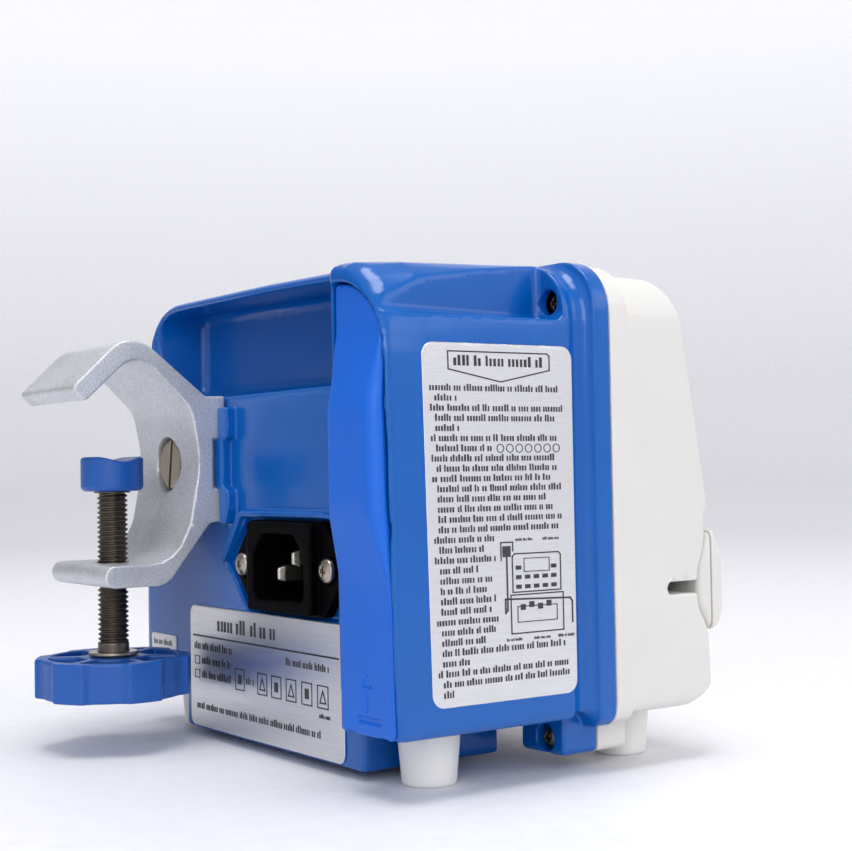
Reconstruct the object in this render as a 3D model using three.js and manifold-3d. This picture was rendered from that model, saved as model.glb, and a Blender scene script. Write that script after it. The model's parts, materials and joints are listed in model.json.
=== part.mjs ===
// A bedside infusion pump with its pole clamp, one solid for each piece of the assembly.
// Millimetres. +Z is up, +X is to the right of a person facing the front, and the front faces -Y.
// Z = 0 is the table under the feet. The pieces are drawn with Y = 0 midway between the front and rear
// feet, and the finished group is moved so that Y = 0 is the middle of the whole pump and clamp.

import * as THREE from "three";
import { mergeVertices } from "three/addons/utils/BufferGeometryUtils.js";
import Module from "manifold-3d";

const wasm = await Module();
wasm.setup();

// ---- Driving dimensions ----

const MIDDLE_Y = 17.5; // middle of the whole pump and clamp from front to rear, moved to Y = 0 at the end
const GAP = 0.3; // clearance between neighbouring pieces
const WALL = 2.4; // thickness of the moulded walls

// Housing halves, which meet at the seam: the rim belongs to the rear shell.
const SEAM_Y = -9.9;
const RIM = { halfWidth: 72.8, bottom: 10.5, top: 118.3, rear: -4.6, topR: 12, bottomR: 4 };
const BODY = { halfBottom: 70.5, halfTop: 67.3, bottom: 13, top: 117.2, rear: 40.1, topR: 14 };
const LOWER_BOX = { halfWidth: 43.5, front: 1.5, bottom: 2 };
const COLUMN = { inner: -47, rear: 49.2, archR: 22, proud: 0.05 };
const FRONT = { halfWidth: 73, bandHalf: 72.6, bandFront: -15.6, bottom: 12.6, top: 116 };
const FRONT_TILT = THREE.MathUtils.degToRad(-9.64); // the display face leans back
const PANEL_CENTRE = new THREE.Vector3(0, -40.3, 86);
const PANEL = { halfWidth: 66, halfHeight: 21, thick: 1 };
const TAB = { outer: 65.8, inner: 50.5, rear: 0.4, front: -19.4, bottom: 4 };

// Battery bay, its pack and its cover.
const BAY = { x0: -65.3, x1: -48.4, y0: 5.2, z0: 17.4, z1: 98.3 };
const COVER = {
  inner: -48.2,
  outer: -68.9,
  bottom: 13.4,
  top: 111,
  front: 47,
  rear: 49.2,
  bulge: 3.6,
};

// Hand recess under the top wall.
const RECESS = { bottom: 90.5, ceiling: 114.2, floorY: 14, endY: 26, x0: -46, xDeep: 56.5, xWide: 60.5 };

// Mains inlet, a C14 socket with screws 40 mm apart.
const INLET = { x: -12, z: 47, flangeW: 50, flangeH: 22.5, screwPitch: 40 };

// Pole clamp.
const CLAMP = { x0: 19.5, x1: 54.5, boltZ: 72.5, spindleY: 64.3 };
const CLAMP_X = (CLAMP.x0 + CLAMP.x1) / 2;
const KNOB = { r: 18.4, lobe: 1.6, lobes: 6, bottom: 13.3, top: 23.3 };

// Door and pump mechanism.
const DOOR = { halfWidth: 61, hingeY: -40.2, hingeZ: 19.2, top: 57, innerY: -39 };
const DOOR_RECESS = { halfWidth: 61.5, bottom: 15.5, top: 57.6, back: -27 };
const TUBE_Z = 40.6; // height of the tube's path through the pump
const TUBE_SLOT = { half: 2.4, end: -28 };
const SHAFT = { y: -14, z: TUBE_Z, r: 2.4 };
const FINGERS = { count: 6, pitch: 5.5, thick: 5, tip: -31.5 };
const GEAR = { module: 1, teeth: 24, pinionTeeth: 12, x0: 22.6, x1: 26.4 };
const MOTOR_ANGLE = THREE.MathUtils.degToRad(22); // direction from the camshaft to the motor

const FEET = [
  ["foot_rear_left", -53, 29],
  ["foot_rear_right", 53, 29],
  ["foot_front_left", -53, -29],
  ["foot_front_right", 53, -29],
];
const TOP_SCREW = { x: 64.5, z: 108, mouth: 7.5, seat: -3 };
const TAB_SCREW = { x: 59.2, z: 7.6, seat: -3 };

const KEY = { width: 18, height: 7, pitch: 9.8, x: 50, proud: 1.2, depth: 3.2 };
const KEY_NAMES = [
  "key_power",
  "key_rate",
  "key_volume",
  "key_purge",
  "key_start",
  "key_stop",
  "key_enter",
  "key_mute",
];

// ---- Shape helpers ----

const AXES_ALONG_X = new THREE.Matrix4().makeBasis(
  new THREE.Vector3(0, 1, 0),
  new THREE.Vector3(0, 0, 1),
  new THREE.Vector3(1, 0, 0),
);
const AXES_ALONG_Y = new THREE.Matrix4().makeBasis(
  new THREE.Vector3(1, 0, 0),
  new THREE.Vector3(0, 0, 1),
  new THREE.Vector3(0, -1, 0),
);
const IN_PLACE = new THREE.Matrix4();

// The frame of the display face: its origin on the face, local -Y out of it, local Z up the slope.
const ON_PANEL = new THREE.Matrix4()
  .makeTranslation(PANEL_CENTRE)
  .multiply(new THREE.Matrix4().makeRotationX(FRONT_TILT));

// A closed solid from a three.js geometry, placed by a matrix.
function solid(geometry, matrix = IN_PLACE) {
  const flat = geometry.index ? geometry.toNonIndexed() : geometry;
  const bare = new THREE.BufferGeometry()
    .setAttribute("position", flat.getAttribute("position").clone())
    .applyMatrix4(matrix);
  const merged = mergeVertices(bare, 1e-4);
  return new wasm.Manifold(
    new wasm.Mesh({
      numProp: 3,
      vertProperties: new Float32Array(merged.getAttribute("position").array),
      triVerts: new Uint32Array(merged.index.array),
    }),
  );
}

// A closed outline from corners [a, b, radius], each corner rounded by an arc of its radius.
function outline(corners, arcSteps = 4) {
  const points = [];
  corners.forEach(([a, b, radius = 0], i) => {
    const corner = new THREE.Vector2(a, b);
    if (radius === 0) {
      points.push(corner);
      return;
    }
    const [pa, pb] = corners[(i + corners.length - 1) % corners.length];
    const [na, nb] = corners[(i + 1) % corners.length];
    const back = new THREE.Vector2(pa, pb).sub(corner).normalize();
    const on = new THREE.Vector2(na, nb).sub(corner).normalize();
    const half = Math.acos(THREE.MathUtils.clamp(back.dot(on), -1, 1)) / 2;
    const centre = back.clone().add(on).normalize().multiplyScalar(radius / Math.sin(half)).add(corner);
    const start = corner.clone().addScaledVector(back, radius / Math.tan(half)).sub(centre);
    const end = corner.clone().addScaledVector(on, radius / Math.tan(half)).sub(centre);
    const turn = Math.atan2(start.cross(end), start.dot(end));
    for (let s = 0; s <= arcSteps; s++) {
      const angle = start.angle() + (turn * s) / arcSteps;
      points.push(new THREE.Vector2(Math.cos(angle), Math.sin(angle)).multiplyScalar(radius).add(centre));
    }
  });
  return new THREE.Shape(points);
}

function extruded(shape, length) {
  return new THREE.ExtrudeGeometry(shape, { depth: length, bevelEnabled: false, curveSegments: 12 });
}

// Prisms of an outline along each axis: (y, z) along X, (x, z) along Y, (x, y) along Z.
function prismX(corners, x0, x1, frame = IN_PLACE) {
  const at = new THREE.Matrix4().makeTranslation(x0, 0, 0).multiply(AXES_ALONG_X);
  return solid(extruded(outline(corners), x1 - x0), frame.clone().multiply(at));
}
function prismY(corners, y0, y1, frame = IN_PLACE) {
  const at = new THREE.Matrix4().makeTranslation(0, y1, 0).multiply(AXES_ALONG_Y);
  return solid(extruded(outline(corners), y1 - y0), frame.clone().multiply(at));
}
function prismZ(corners, z0, z1, frame = IN_PLACE) {
  const at = new THREE.Matrix4().makeTranslation(0, 0, z0);
  return solid(extruded(outline(corners), z1 - z0), frame.clone().multiply(at));
}

function rectangle(a0, a1, b0, b1, radius = 0) {
  return [
    [a0, b0, radius],
    [a1, b0, radius],
    [a1, b1, radius],
    [a0, b1, radius],
  ];
}

function block(x0, x1, y0, y1, z0, z1, frame = IN_PLACE) {
  const at = new THREE.Matrix4().makeTranslation((x0 + x1) / 2, (y0 + y1) / 2, (z0 + z1) / 2);
  return solid(new THREE.BoxGeometry(x1 - x0, y1 - y0, z1 - z0), frame.clone().multiply(at));
}

// Round pieces: a profile of [radius, height] points turned about an axis through (a, b).
function turned(profile, segments, matrix) {
  const points = profile.map(([r, h]) => new THREE.Vector2(r, h));
  return solid(new THREE.LatheGeometry(points, segments), matrix);
}
function turnedX(profile, y, z, segments = 20, frame = IN_PLACE) {
  const toX = new THREE.Matrix4().makeRotationZ(-Math.PI / 2);
  const at = new THREE.Matrix4().makeTranslation(0, y, z).multiply(toX);
  return turned(profile, segments, frame.clone().multiply(at));
}
function turnedY(profile, x, z, segments = 20, frame = IN_PLACE) {
  return turned(profile, segments, frame.clone().multiply(new THREE.Matrix4().makeTranslation(x, 0, z)));
}
function turnedZ(profile, x, y, segments = 24, frame = IN_PLACE) {
  const toZ = new THREE.Matrix4().makeRotationX(Math.PI / 2);
  const at = new THREE.Matrix4().makeTranslation(x, y, 0).multiply(toZ);
  return turned(profile, segments, frame.clone().multiply(at));
}
const rod = (r, from, to) => [
  [0, from],
  [r, from],
  [r, to],
  [0, to],
];

const material = (color, roughness, metalness = 0) =>
  new THREE.MeshStandardMaterial({ color, roughness, metalness });

const pump = new THREE.Group();

function piece(name, made, finish) {
  const { numProp, vertProperties, triVerts } = made.getMesh();
  const positions = new Float32Array((vertProperties.length / numProp) * 3);
  for (let i = 0; i < positions.length / 3; i++) {
    positions.set(vertProperties.subarray(i * numProp, i * numProp + 3), i * 3);
  }
  const geometry = new THREE.BufferGeometry();
  geometry.setAttribute("position", new THREE.BufferAttribute(positions, 3));
  geometry.setIndex(new THREE.BufferAttribute(new Uint32Array(triVerts), 1));
  geometry.computeVertexNormals();
  const mesh = new THREE.Mesh(geometry, finish);
  mesh.name = name;
  pump.add(mesh);
}

// ---- Finishes ----

const blueGloss = () => material(0x3e7acb, 0.3);
const blueMatt = () => material(0x3e76dc, 0.55);
const white = () => material(0xebeae6, 0.5);
const silicone = () => material(0xf2f2ee, 0.6);
const blackPlastic = () => material(0x191620, 0.45);
const steel = () => material(0x9a9184, 0.3, 1);
const aluminium = () => material(0xb9bcc2, 0.45, 1);
const brass = () => material(0xc9a860, 0.35, 1);
const labelSilver = () => material(0xc3c4c8, 0.4, 0.6);
const boardGreen = () => material(0x1f5b3a, 0.5);
const acetal = () => material(0xe4e1d6, 0.5);

// ---- Housing ----

const bodyOutline = (inset, topR) => [
  [-BODY.halfBottom + inset, BODY.bottom + inset, 3],
  [BODY.halfBottom - inset, BODY.bottom + inset, 3],
  [BODY.halfTop - inset, BODY.top - inset, topR],
  [-BODY.halfTop + inset, BODY.top - inset, topR],
];

// The battery cover's edge: straight sides, a rounded arch towards the outer top corner.
const coverOutline = (grow) => [
  [COVER.outer - grow, COVER.bottom - grow, 2],
  [COVER.inner + grow, COVER.bottom - grow, 1],
  [COVER.inner + grow, COVER.top + grow, 2],
  [-52.5 - grow * 0.5, COVER.top + grow, 3],
  [-61.5 - grow * 0.8, 105 + grow * 0.8, 6],
  [-66.6 - grow, 92, 12],
];

// Outer form of the rear shell before it is hollowed.
function rearForm() {
  const block0 = prismY(bodyOutline(0, BODY.topR), RIM.rear - 1, BODY.rear);
  const column = prismY(bodyOutline(-COLUMN.proud, COLUMN.archR), BODY.rear - 6, COLUMN.rear);
  const plan = prismZ(
    [
      [-BODY.halfBottom - 0.5, -8],
      [BODY.halfBottom + 0.5, -8],
      [BODY.halfBottom + 0.5, BODY.rear, 5],
      [COLUMN.inner, BODY.rear, 1],
      [COLUMN.inner - 0.4, COLUMN.rear, 1.5],
      [-BODY.halfBottom - 0.5, COLUMN.rear, 4],
    ],
    0,
    125,
  );
  const side = prismX(
    [
      [-8, 5],
      [55, 5],
      [51, 116, 2],
      [-8, 117.6],
    ],
    -80,
    80,
  );
  const rim = prismY(
    [
      [-RIM.halfWidth, RIM.bottom, RIM.bottomR],
      [RIM.halfWidth, RIM.bottom, RIM.bottomR],
      [RIM.halfWidth, RIM.top, RIM.topR],
      [-RIM.halfWidth, RIM.top, RIM.topR],
    ],
    SEAM_Y,
    RIM.rear,
  );
  const lowerBox = prismZ(
    rectangle(-LOWER_BOX.halfWidth, LOWER_BOX.halfWidth, LOWER_BOX.front, BODY.rear, 4),
    LOWER_BOX.bottom,
    BODY.bottom + 1,
  );
  const seat = prismX(
    [
      [BODY.rear - 1, 57],
      [43, 58.5],
      [43, 85.5],
      [BODY.rear - 1, 87],
    ],
    13.2,
    19,
  ).subtract(block(10, 17, 39, 44, 79, 90));
  return block0.add(column).intersect(plan).intersect(side).add(rim).add(lowerBox).add(seat);
}

function tab(side, y0, y1) {
  return prismY(
    side < 0
      ? rectangle(-TAB.outer, -TAB.inner, TAB.bottom, BODY.bottom + 1.5, 1)
      : rectangle(TAB.inner, TAB.outer, TAB.bottom, BODY.bottom + 1.5, 1),
    y0,
    y1,
  );
}

// The tapered groove from the rear corner to a top screw, grown by a margin.
function scoop(side, margin) {
  const lean = new THREE.Matrix4()
    .makeTranslation(side * (TOP_SCREW.x + 1.2), TOP_SCREW.mouth - margin, TOP_SCREW.z + 0.6)
    .multiply(new THREE.Matrix4().makeRotationZ(-side * 0.09))
    .multiply(new THREE.Matrix4().makeRotationX(-0.03));
  const cone = [
    [0, 0],
    [5.4 + margin, 0],
    [2.6 + margin, 40],
    [0, 40],
  ];
  return turned(cone, 20, lean);
}

function rearShell() {
  const cavity = prismY(bodyOutline(WALL, BODY.topR - WALL), SEAM_Y - 1, BODY.rear - WALL).add(
    prismZ(
      rectangle(
        -LOWER_BOX.halfWidth + WALL,
        LOWER_BOX.halfWidth - WALL,
        LOWER_BOX.front + WALL,
        BODY.rear - WALL,
        2,
      ),
      LOWER_BOX.bottom + WALL,
      BODY.bottom + WALL + 1,
    ),
  );
  const bayWalls = block(-80, BAY.x1 + 2.2, BAY.y0 - 2.2, 60, BAY.z0 - 6, BAY.z1 + 2.2);
  const recessWalls = prismZ(
    [
      [-60, RECESS.floorY - WALL - 1.4],
      [RECESS.xDeep + 2.4, RECESS.endY - WALL],
      [RECESS.xWide + 3, BODY.rear + 2],
      [-60, BODY.rear + 2],
    ],
    RECESS.bottom - WALL,
    125,
  );
  const inletPad = block(-45, 21, BODY.rear - 4.4, 50, 33, 61);
  const clampPad = block(CLAMP.x0 - 4, CLAMP.x1 + 1, BODY.rear - 6, 50, 60, 86);
  const bosses = [-1, 1].map((s) =>
    turnedY(rod(4.6, -12, TOP_SCREW.mouth), s * TOP_SCREW.x, TOP_SCREW.z, 16),
  );
  const keep = [bayWalls, recessWalls, inletPad, clampPad, scoop(-1, WALL), scoop(1, WALL), ...bosses];
  const hollow = keep.reduce((rest, part) => rest.subtract(part), cavity);

  const bay = block(BAY.x0, BAY.x1, BAY.y0, 60, BAY.z0, BAY.z1);
  const coverSeat = prismY(coverOutline(GAP), COVER.front - GAP, 60);
  const recess = prismZ(
    [
      [RECESS.x0, RECESS.floorY, 3],
      [RECESS.xDeep, RECESS.endY, 4],
      [RECESS.xWide, BODY.rear + 1],
      [RECESS.x0, BODY.rear + 1],
    ],
    RECESS.bottom,
    RECESS.ceiling,
  );
  const inletPocket = prismY(
    [
      [INLET.x - 31.5, INLET.z],
      [INLET.x - 21, INLET.z - 11.9],
      [INLET.x + 21, INLET.z - 11.9],
      [INLET.x + 31.5, INLET.z],
      [INLET.x + 21, INLET.z + 11.9],
      [INLET.x - 21, INLET.z + 11.9],
    ],
    BODY.rear - 2,
    60,
  );
  const inletHole = block(INLET.x - 14.2, INLET.x + 14.2, 30, 60, INLET.z - 10.3, INLET.z + 10.3);
  const inletScrewHoles = [-1, 1].map((s) =>
    turnedY(rod(1.9, 30, 60), INLET.x + (s * INLET.screwPitch) / 2, INLET.z, 12),
  );
  const clampHole = turnedY(rod(4.5, 30, 60), CLAMP_X, CLAMP.boltZ, 16);
  const scoops = [scoop(-1, 0), scoop(1, 0)];
  const topScrewHoles = [-1, 1].flatMap((s) => [
    turnedY(rod(3.2, TOP_SCREW.seat, TOP_SCREW.mouth + 1), s * TOP_SCREW.x, TOP_SCREW.z, 16),
    turnedY(rod(1.9, -14, TOP_SCREW.seat + 1), s * TOP_SCREW.x, TOP_SCREW.z, 12),
  ]);
  const tabScrewHoles = [-1, 1].flatMap((s) => [
    turnedY(rod(3.2, TAB_SCREW.seat, 3), s * TAB_SCREW.x, TAB_SCREW.z, 16),
    turnedY(rod(1.9, -14, TAB_SCREW.seat + 1), s * TAB_SCREW.x, TAB_SCREW.z, 12),
  ]);
  const footHoles = FEET.slice(0, 2).map(([, x, y]) => turnedZ(rod(2.9, 5, 16.6), x, y, 12));
  const cuts = [
    hollow,
    bay,
    coverSeat,
    recess,
    inletPocket,
    inletHole,
    ...inletScrewHoles,
    clampHole,
    ...scoops,
    ...topScrewHoles,
    ...tabScrewHoles,
    ...footHoles,
  ];
  const form = rearForm().add(tab(-1, SEAM_Y, TAB.rear)).add(tab(1, SEAM_Y, TAB.rear));
  const shell = cuts.reduce((rest, tool) => rest.subtract(tool), form);
  piece("rear_shell", shell, blueGloss());
}

// Rear shell's battery cover: hooked at its top edge, with a hand-sized bulge below.
function batteryCover() {
  const bulgeRear = COVER.rear + COVER.bulge;
  const profile = prismX(
    [
      [COVER.front, COVER.bottom - 1],
      [COVER.rear, COVER.bottom - 1],
      [COVER.rear, 44, 20],
      [bulgeRear, 62, 20],
      [bulgeRear, 88, 12],
      [COVER.rear, 99, 12],
      [COVER.rear, COVER.top + 1],
      [COVER.front, COVER.top + 1],
    ],
    -75,
    -45,
  );
  const hollow = prismX(
    [
      [COVER.front - 1, 60],
      [COVER.front + 2.4, 66, 2],
      [COVER.front + 2.4, 86, 2],
      [COVER.front - 1, 92],
    ],
    -66,
    -50.6,
  );
  piece("battery_cover", profile.intersect(prismY(coverOutline(0), 40, 60)).subtract(hollow), blueMatt());
}

function batteryPack() {
  const pack = prismZ(rectangle(BAY.x0 + 0.5, BAY.x1 - 0.5, BAY.y0 + 1, BAY.y0 + 39, 3), BAY.z0 + 0.5, 96);
  piece("battery_pack", pack, material(0x2b2f36, 0.5));
}

// Side profile of the front housing, (y, z), drawn in by an inset.
const frontProfile = (inset) => [
  [SEAM_Y + 1, FRONT.bottom + inset],
  [-38.6 + inset, FRONT.bottom + inset, 3.5],
  [-43 + inset, 17 + inset],
  [-43.4 + inset, 58],
  [-44.9 + inset, 59.5, 1],
  [-36 + inset, 113.4 - inset * 1.1, 6],
  [-26, FRONT.top - inset],
  [SEAM_Y + 1, FRONT.top + 0.3 - inset],
];

function frontForm(inset) {
  const wide = FRONT.halfWidth - inset;
  const main = prismY(
    [
      [-wide, FRONT.bottom + inset - 1, 4],
      [wide, FRONT.bottom + inset - 1, 4],
      [wide - 0.6, FRONT.top + 1 - inset, 13 - inset],
      [-wide + 0.6, FRONT.top + 1 - inset, 13 - inset],
    ],
    -60,
    SEAM_Y - GAP,
  );
  const plan = prismZ(
    [
      [-wide, SEAM_Y + 1],
      [-wide, -44.9 + inset, 6],
      [wide, -44.9 + inset, 6],
      [wide, SEAM_Y + 1],
    ],
    0,
    125,
  );
  return main.intersect(prismX(frontProfile(inset), -80, 80)).intersect(plan);
}

// A key's outline in the panel's frame, grown by a margin.
const keyOutline = ([x, z], margin) =>
  rectangle(
    x - KEY.width / 2 - margin,
    x + KEY.width / 2 + margin,
    z - KEY.height / 2 - margin,
    z + KEY.height / 2 + margin,
    KEY.height / 2 + margin - 0.05,
  );
const keyPlaces = KEY_NAMES.map((name, i) => [
  i < KEY_NAMES.length / 2 ? -KEY.x : KEY.x,
  (1.5 - (i % (KEY_NAMES.length / 2))) * KEY.pitch,
]);

function frontHousing() {
  const band = prismY(
    [
      [-FRONT.bandHalf, 10.9, 4],
      [FRONT.bandHalf, 10.9, 4],
      [FRONT.bandHalf, 117.6, 12],
      [-FRONT.bandHalf, 117.6, 12],
    ],
    FRONT.bandFront,
    SEAM_Y - GAP,
  );
  const form = [band, tab(-1, TAB.front, SEAM_Y - GAP), tab(1, TAB.front, SEAM_Y - GAP)].reduce(
    (whole, part) => whole.add(part),
    frontForm(0),
  );
  const recessWalls = block(-64, 64, -60, DOOR_RECESS.back + 2.2, 13, DOOR_RECESS.top + 2.2);
  const slotWalls = block(-80, 80, -60, TUBE_SLOT.end + 2, TUBE_Z - 4.6, TUBE_Z + 4.6);
  const scallopWalls = block(-80, 80, -60, -34.4, 25, DOOR_RECESS.top + 2.2);
  const bosses = [-1, 1].map((s) =>
    turnedY(rod(4.4, -22, -9), s * TOP_SCREW.x, TOP_SCREW.z, 16),
  );
  const hollow = [recessWalls, slotWalls, scallopWalls, ...bosses].reduce(
    (rest, part) => rest.subtract(part),
    frontForm(WALL),
  );
  const recess = block(
    -DOOR_RECESS.halfWidth,
    DOOR_RECESS.halfWidth,
    -60,
    DOOR_RECESS.back,
    DOOR_RECESS.bottom,
    DOOR_RECESS.top,
  );
  const tubeSlot = prismX(
    [
      [-60, TUBE_Z - TUBE_SLOT.half],
      [-60, TUBE_Z + TUBE_SLOT.half],
      [TUBE_SLOT.end, TUBE_Z + TUBE_SLOT.half, 2.3],
      [TUBE_SLOT.end, TUBE_Z - TUBE_SLOT.half, 2.3],
    ],
    -80,
    80,
  );
  const scallop = prismX(
    [
      [-60, 58],
      [-42.6, 57, 2],
      [-37, 44, 8],
      [-37, 37, 8],
      [-42.4, 28, 2],
      [-60, 27],
    ],
    -80,
    80,
  );
  const mechanismHole = block(-22, GEAR.x1 + 2, -30, -20, 26, 55);
  const sensorHoles = [
    block(-47, -33, -30, -20, 32, 50),
    block(30, 42, -30, -20, 33, 48),
  ];
  const sealGroove = prismY(sealOutline(-GAP), SEAM_Y - 2.9, 0).subtract(
    prismY(sealOutline(1.9 + GAP), SEAM_Y - 4, 1),
  );
  const panelPocket = block(
    -PANEL.halfWidth - GAP,
    PANEL.halfWidth + GAP,
    -6,
    PANEL.thick + GAP,
    -PANEL.halfHeight - GAP,
    PANEL.halfHeight + GAP,
    ON_PANEL,
  );
  const window0 = block(-35.6, 35.6, -6, 8, -16.6, 17.6, ON_PANEL);
  const keyHoles = keyPlaces.map((at) => prismY(keyOutline(at, GAP), -6, 8, ON_PANEL));
  const lensHole = block(-15, 15, -23, -14.5, 108, 125).add(
    prismY(rectangle(-18.3, 18.3, 115.4, 125), -24.3, -12.3),
  );
  const hingeHole = turnedX(rod(1.8, -66, 66), DOOR.hingeY, DOOR.hingeZ, 12);
  const topScrewHoles = [-1, 1].map((s) =>
    turnedY(rod(1.9, -19, 0), s * TOP_SCREW.x, TOP_SCREW.z, 12),
  );
  const tabScrewHoles = [-1, 1].map((s) =>
    turnedY(rod(1.9, -17.5, 0), s * TAB_SCREW.x, TAB_SCREW.z, 12),
  );
  const footHoles = FEET.slice(2).map(([, x, y]) => turnedZ(rod(2.9, 5, 16.6), x, y, 12));
  const cuts = [
    hollow,
    recess,
    tubeSlot,
    scallop,
    mechanismHole,
    ...sensorHoles,
    sealGroove,
    panelPocket,
    window0,
    ...keyHoles,
    lensHole,
    hingeHole,
    ...topScrewHoles,
    ...tabScrewHoles,
    ...footHoles,
  ];
  piece(
    "front_housing",
    cuts.reduce((rest, tool) => rest.subtract(tool), form),
    white(),
  );
}

// The seal's outer edge, drawn in by an inset.
const sealOutline = (inset) => [
  [-71.5 + inset, 12.9 + inset, 4],
  [71.5 - inset, 12.9 + inset, 4],
  [71.5 - inset, 115.4 - inset, 11],
  [-71.5 + inset, 115.4 - inset, 11],
];

function housingSeal() {
  const ring = prismY(sealOutline(0), SEAM_Y - 2.6, SEAM_Y - GAP).subtract(
    prismY(sealOutline(1.9), SEAM_Y - 4, 0),
  );
  piece("housing_seal", ring, material(0x303236, 0.8));
}

function indicatorLens() {
  const cap = prismY(rectangle(-18, 18, 115.7, 119.6, 1.3), -24, -12.6);
  const stem = block(-14.6, 14.6, -22.6, -14.9, 112.6, 118);
  piece("indicator_lens", cap.add(stem), material(0xf4f4f0, 0.3));
}

function feet() {
  for (const [name, x, y] of FEET) {
    const profile = [
      [0, 0],
      [6.15, 0],
      [7.25, 12.3],
      [2.6, 12.3],
      [2.6, 16],
      [0, 16],
    ];
    piece(name, turnedZ(profile, x, y, 24), silicone());
  }
}

function caseScrews() {
  const screw = (seat) => [
    [0, seat - 13],
    [1.5, seat - 13],
    [1.5, seat + GAP],
    [2.8, seat + GAP],
    [2.8, seat + 1.9],
    [1.6, seat + 2.5],
    [0, seat + 2.5],
  ];
  for (const [side, s] of [["left", -1], ["right", 1]]) {
    const top = turnedY(screw(TOP_SCREW.seat), s * TOP_SCREW.x, TOP_SCREW.z, 12);
    const bottom = turnedY(screw(TAB_SCREW.seat), s * TAB_SCREW.x, TAB_SCREW.z, 12);
    piece(`case_screw_top_${side}`, top, steel());
    piece(`case_screw_bottom_${side}`, bottom, steel());
  }
}

function labels() {
  const lean = Math.atan((BODY.halfBottom - BODY.halfTop) / (BODY.top - BODY.bottom));
  const onSide = new THREE.Matrix4()
    .makeTranslation(-BODY.halfBottom, 0, BODY.bottom)
    .multiply(new THREE.Matrix4().makeRotationY(lean));
  const side = prismX(rectangle(0.4, 40.2, 6.4, 84.5, 3), -0.5, -0.12, onSide);
  piece("side_label", side, labelSilver());
  const rear = prismY(rectangle(-36.2, 40.2, 2.8, 34.9, 2.5), BODY.rear + 0.12, BODY.rear + 0.5);
  piece("rear_label", rear, labelSilver());
  const serial = prismY(rectangle(49.4, 64.4, 13.6, 25.5, 0.8), BODY.rear + 0.12, BODY.rear + 0.4);
  piece("serial_label", serial, material(0xf2f2f2, 0.5));
}

// ---- Mains inlet ----

function inlet() {
  const hex = (halfW, halfH) => [
    [INLET.x - halfW, INLET.z, 2],
    [INLET.x - halfW + 9, INLET.z - halfH, 1],
    [INLET.x + halfW - 9, INLET.z - halfH, 1],
    [INLET.x + halfW, INLET.z, 2],
    [INLET.x + halfW - 9, INLET.z + halfH, 1],
    [INLET.x - halfW + 9, INLET.z + halfH, 1],
  ];
  const flangeFace = BODY.rear + 1.2;
  const flange = prismY(hex(INLET.flangeW / 2 + 1.5, INLET.flangeH / 2), BODY.rear - 1.7, flangeFace);
  const hood = prismY(
    rectangle(INLET.x - 15.2, INLET.x + 15.2, INLET.z - 10.8, INLET.z + 10.8, 1.5),
    BODY.rear,
    BODY.rear + 3.6,
  );
  const body = block(INLET.x - 13.8, INLET.x + 13.8, 22, BODY.rear, INLET.z - 9.9, INLET.z + 9.9);
  const mouth = prismY(
    [
      [INLET.x - 12.3, INLET.z - 8.3, 3.5],
      [INLET.x + 12.3, INLET.z - 8.3, 3.5],
      [INLET.x + 12.3, INLET.z + 3.5],
      [INLET.x + 7.5, INLET.z + 8.3],
      [INLET.x - 7.5, INLET.z + 8.3],
      [INLET.x - 12.3, INLET.z + 3.5],
    ],
    27,
    60,
  );
  const pins = [
    ["inlet_pin_earth", INLET.x, INLET.z + 2],
    ["inlet_pin_line", INLET.x + 7, INLET.z - 2],
    ["inlet_pin_neutral", INLET.x - 7, INLET.z - 2],
  ];
  const slots = pins.map(([, x, z]) => block(x - 1.3, x + 1.3, 10, 30, z - 2.3, z + 2.3));
  const screwHoles = [-1, 1].map((s) =>
    turnedY(rod(1.9, 30, 60), INLET.x + (s * INLET.screwPitch) / 2, INLET.z, 12),
  );
  const socket = [mouth, ...slots, ...screwHoles].reduce(
    (rest, tool) => rest.subtract(tool),
    flange.add(hood).add(body),
  );
  piece("inlet_socket", socket, blackPlastic());
  for (const [name, x, z] of pins) {
    piece(name, block(x - 1, x + 1, 15, 39.5, z - 2, z + 2), brass());
  }
  const screw = [
    [0, 31],
    [1.5, 31],
    [1.5, flangeFace + GAP],
    [2.9, flangeFace + GAP],
    [2.5, flangeFace + 1.5],
    [1.2, flangeFace + 2.1],
    [0, flangeFace + 2.1],
  ];
  piece("inlet_screw_left", turnedY(screw, INLET.x - INLET.screwPitch / 2, INLET.z, 12), steel());
  piece("inlet_screw_right", turnedY(screw, INLET.x + INLET.screwPitch / 2, INLET.z, 12), steel());
}

// ---- Pole clamp ----

// The bracket's section in (y, z): a hook above, a curved web on the case and an arm below.
const BRACKET_SECTION = [
  [40.4, 57.4, 0.6],
  [44.8, 57.4, 3],
  [57.2, 41.8, 6],
  [74, 41.8, 2.7],
  [74, 47.4, 2.7],
  [55.5, 47.4, 10],
  [50.6, 57.5, 12],
  [47.7, 73.2, 25],
  [50.2, 86.8, 10],
  [65, 100.9, 6],
  [78.9, 88, 2],
  [82.4, 91.4, 2],
  [66.7, 106.5, 8.5],
  [45.9, 89.9, 2],
  [40.4, 90.1, 0.6],
];

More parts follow.
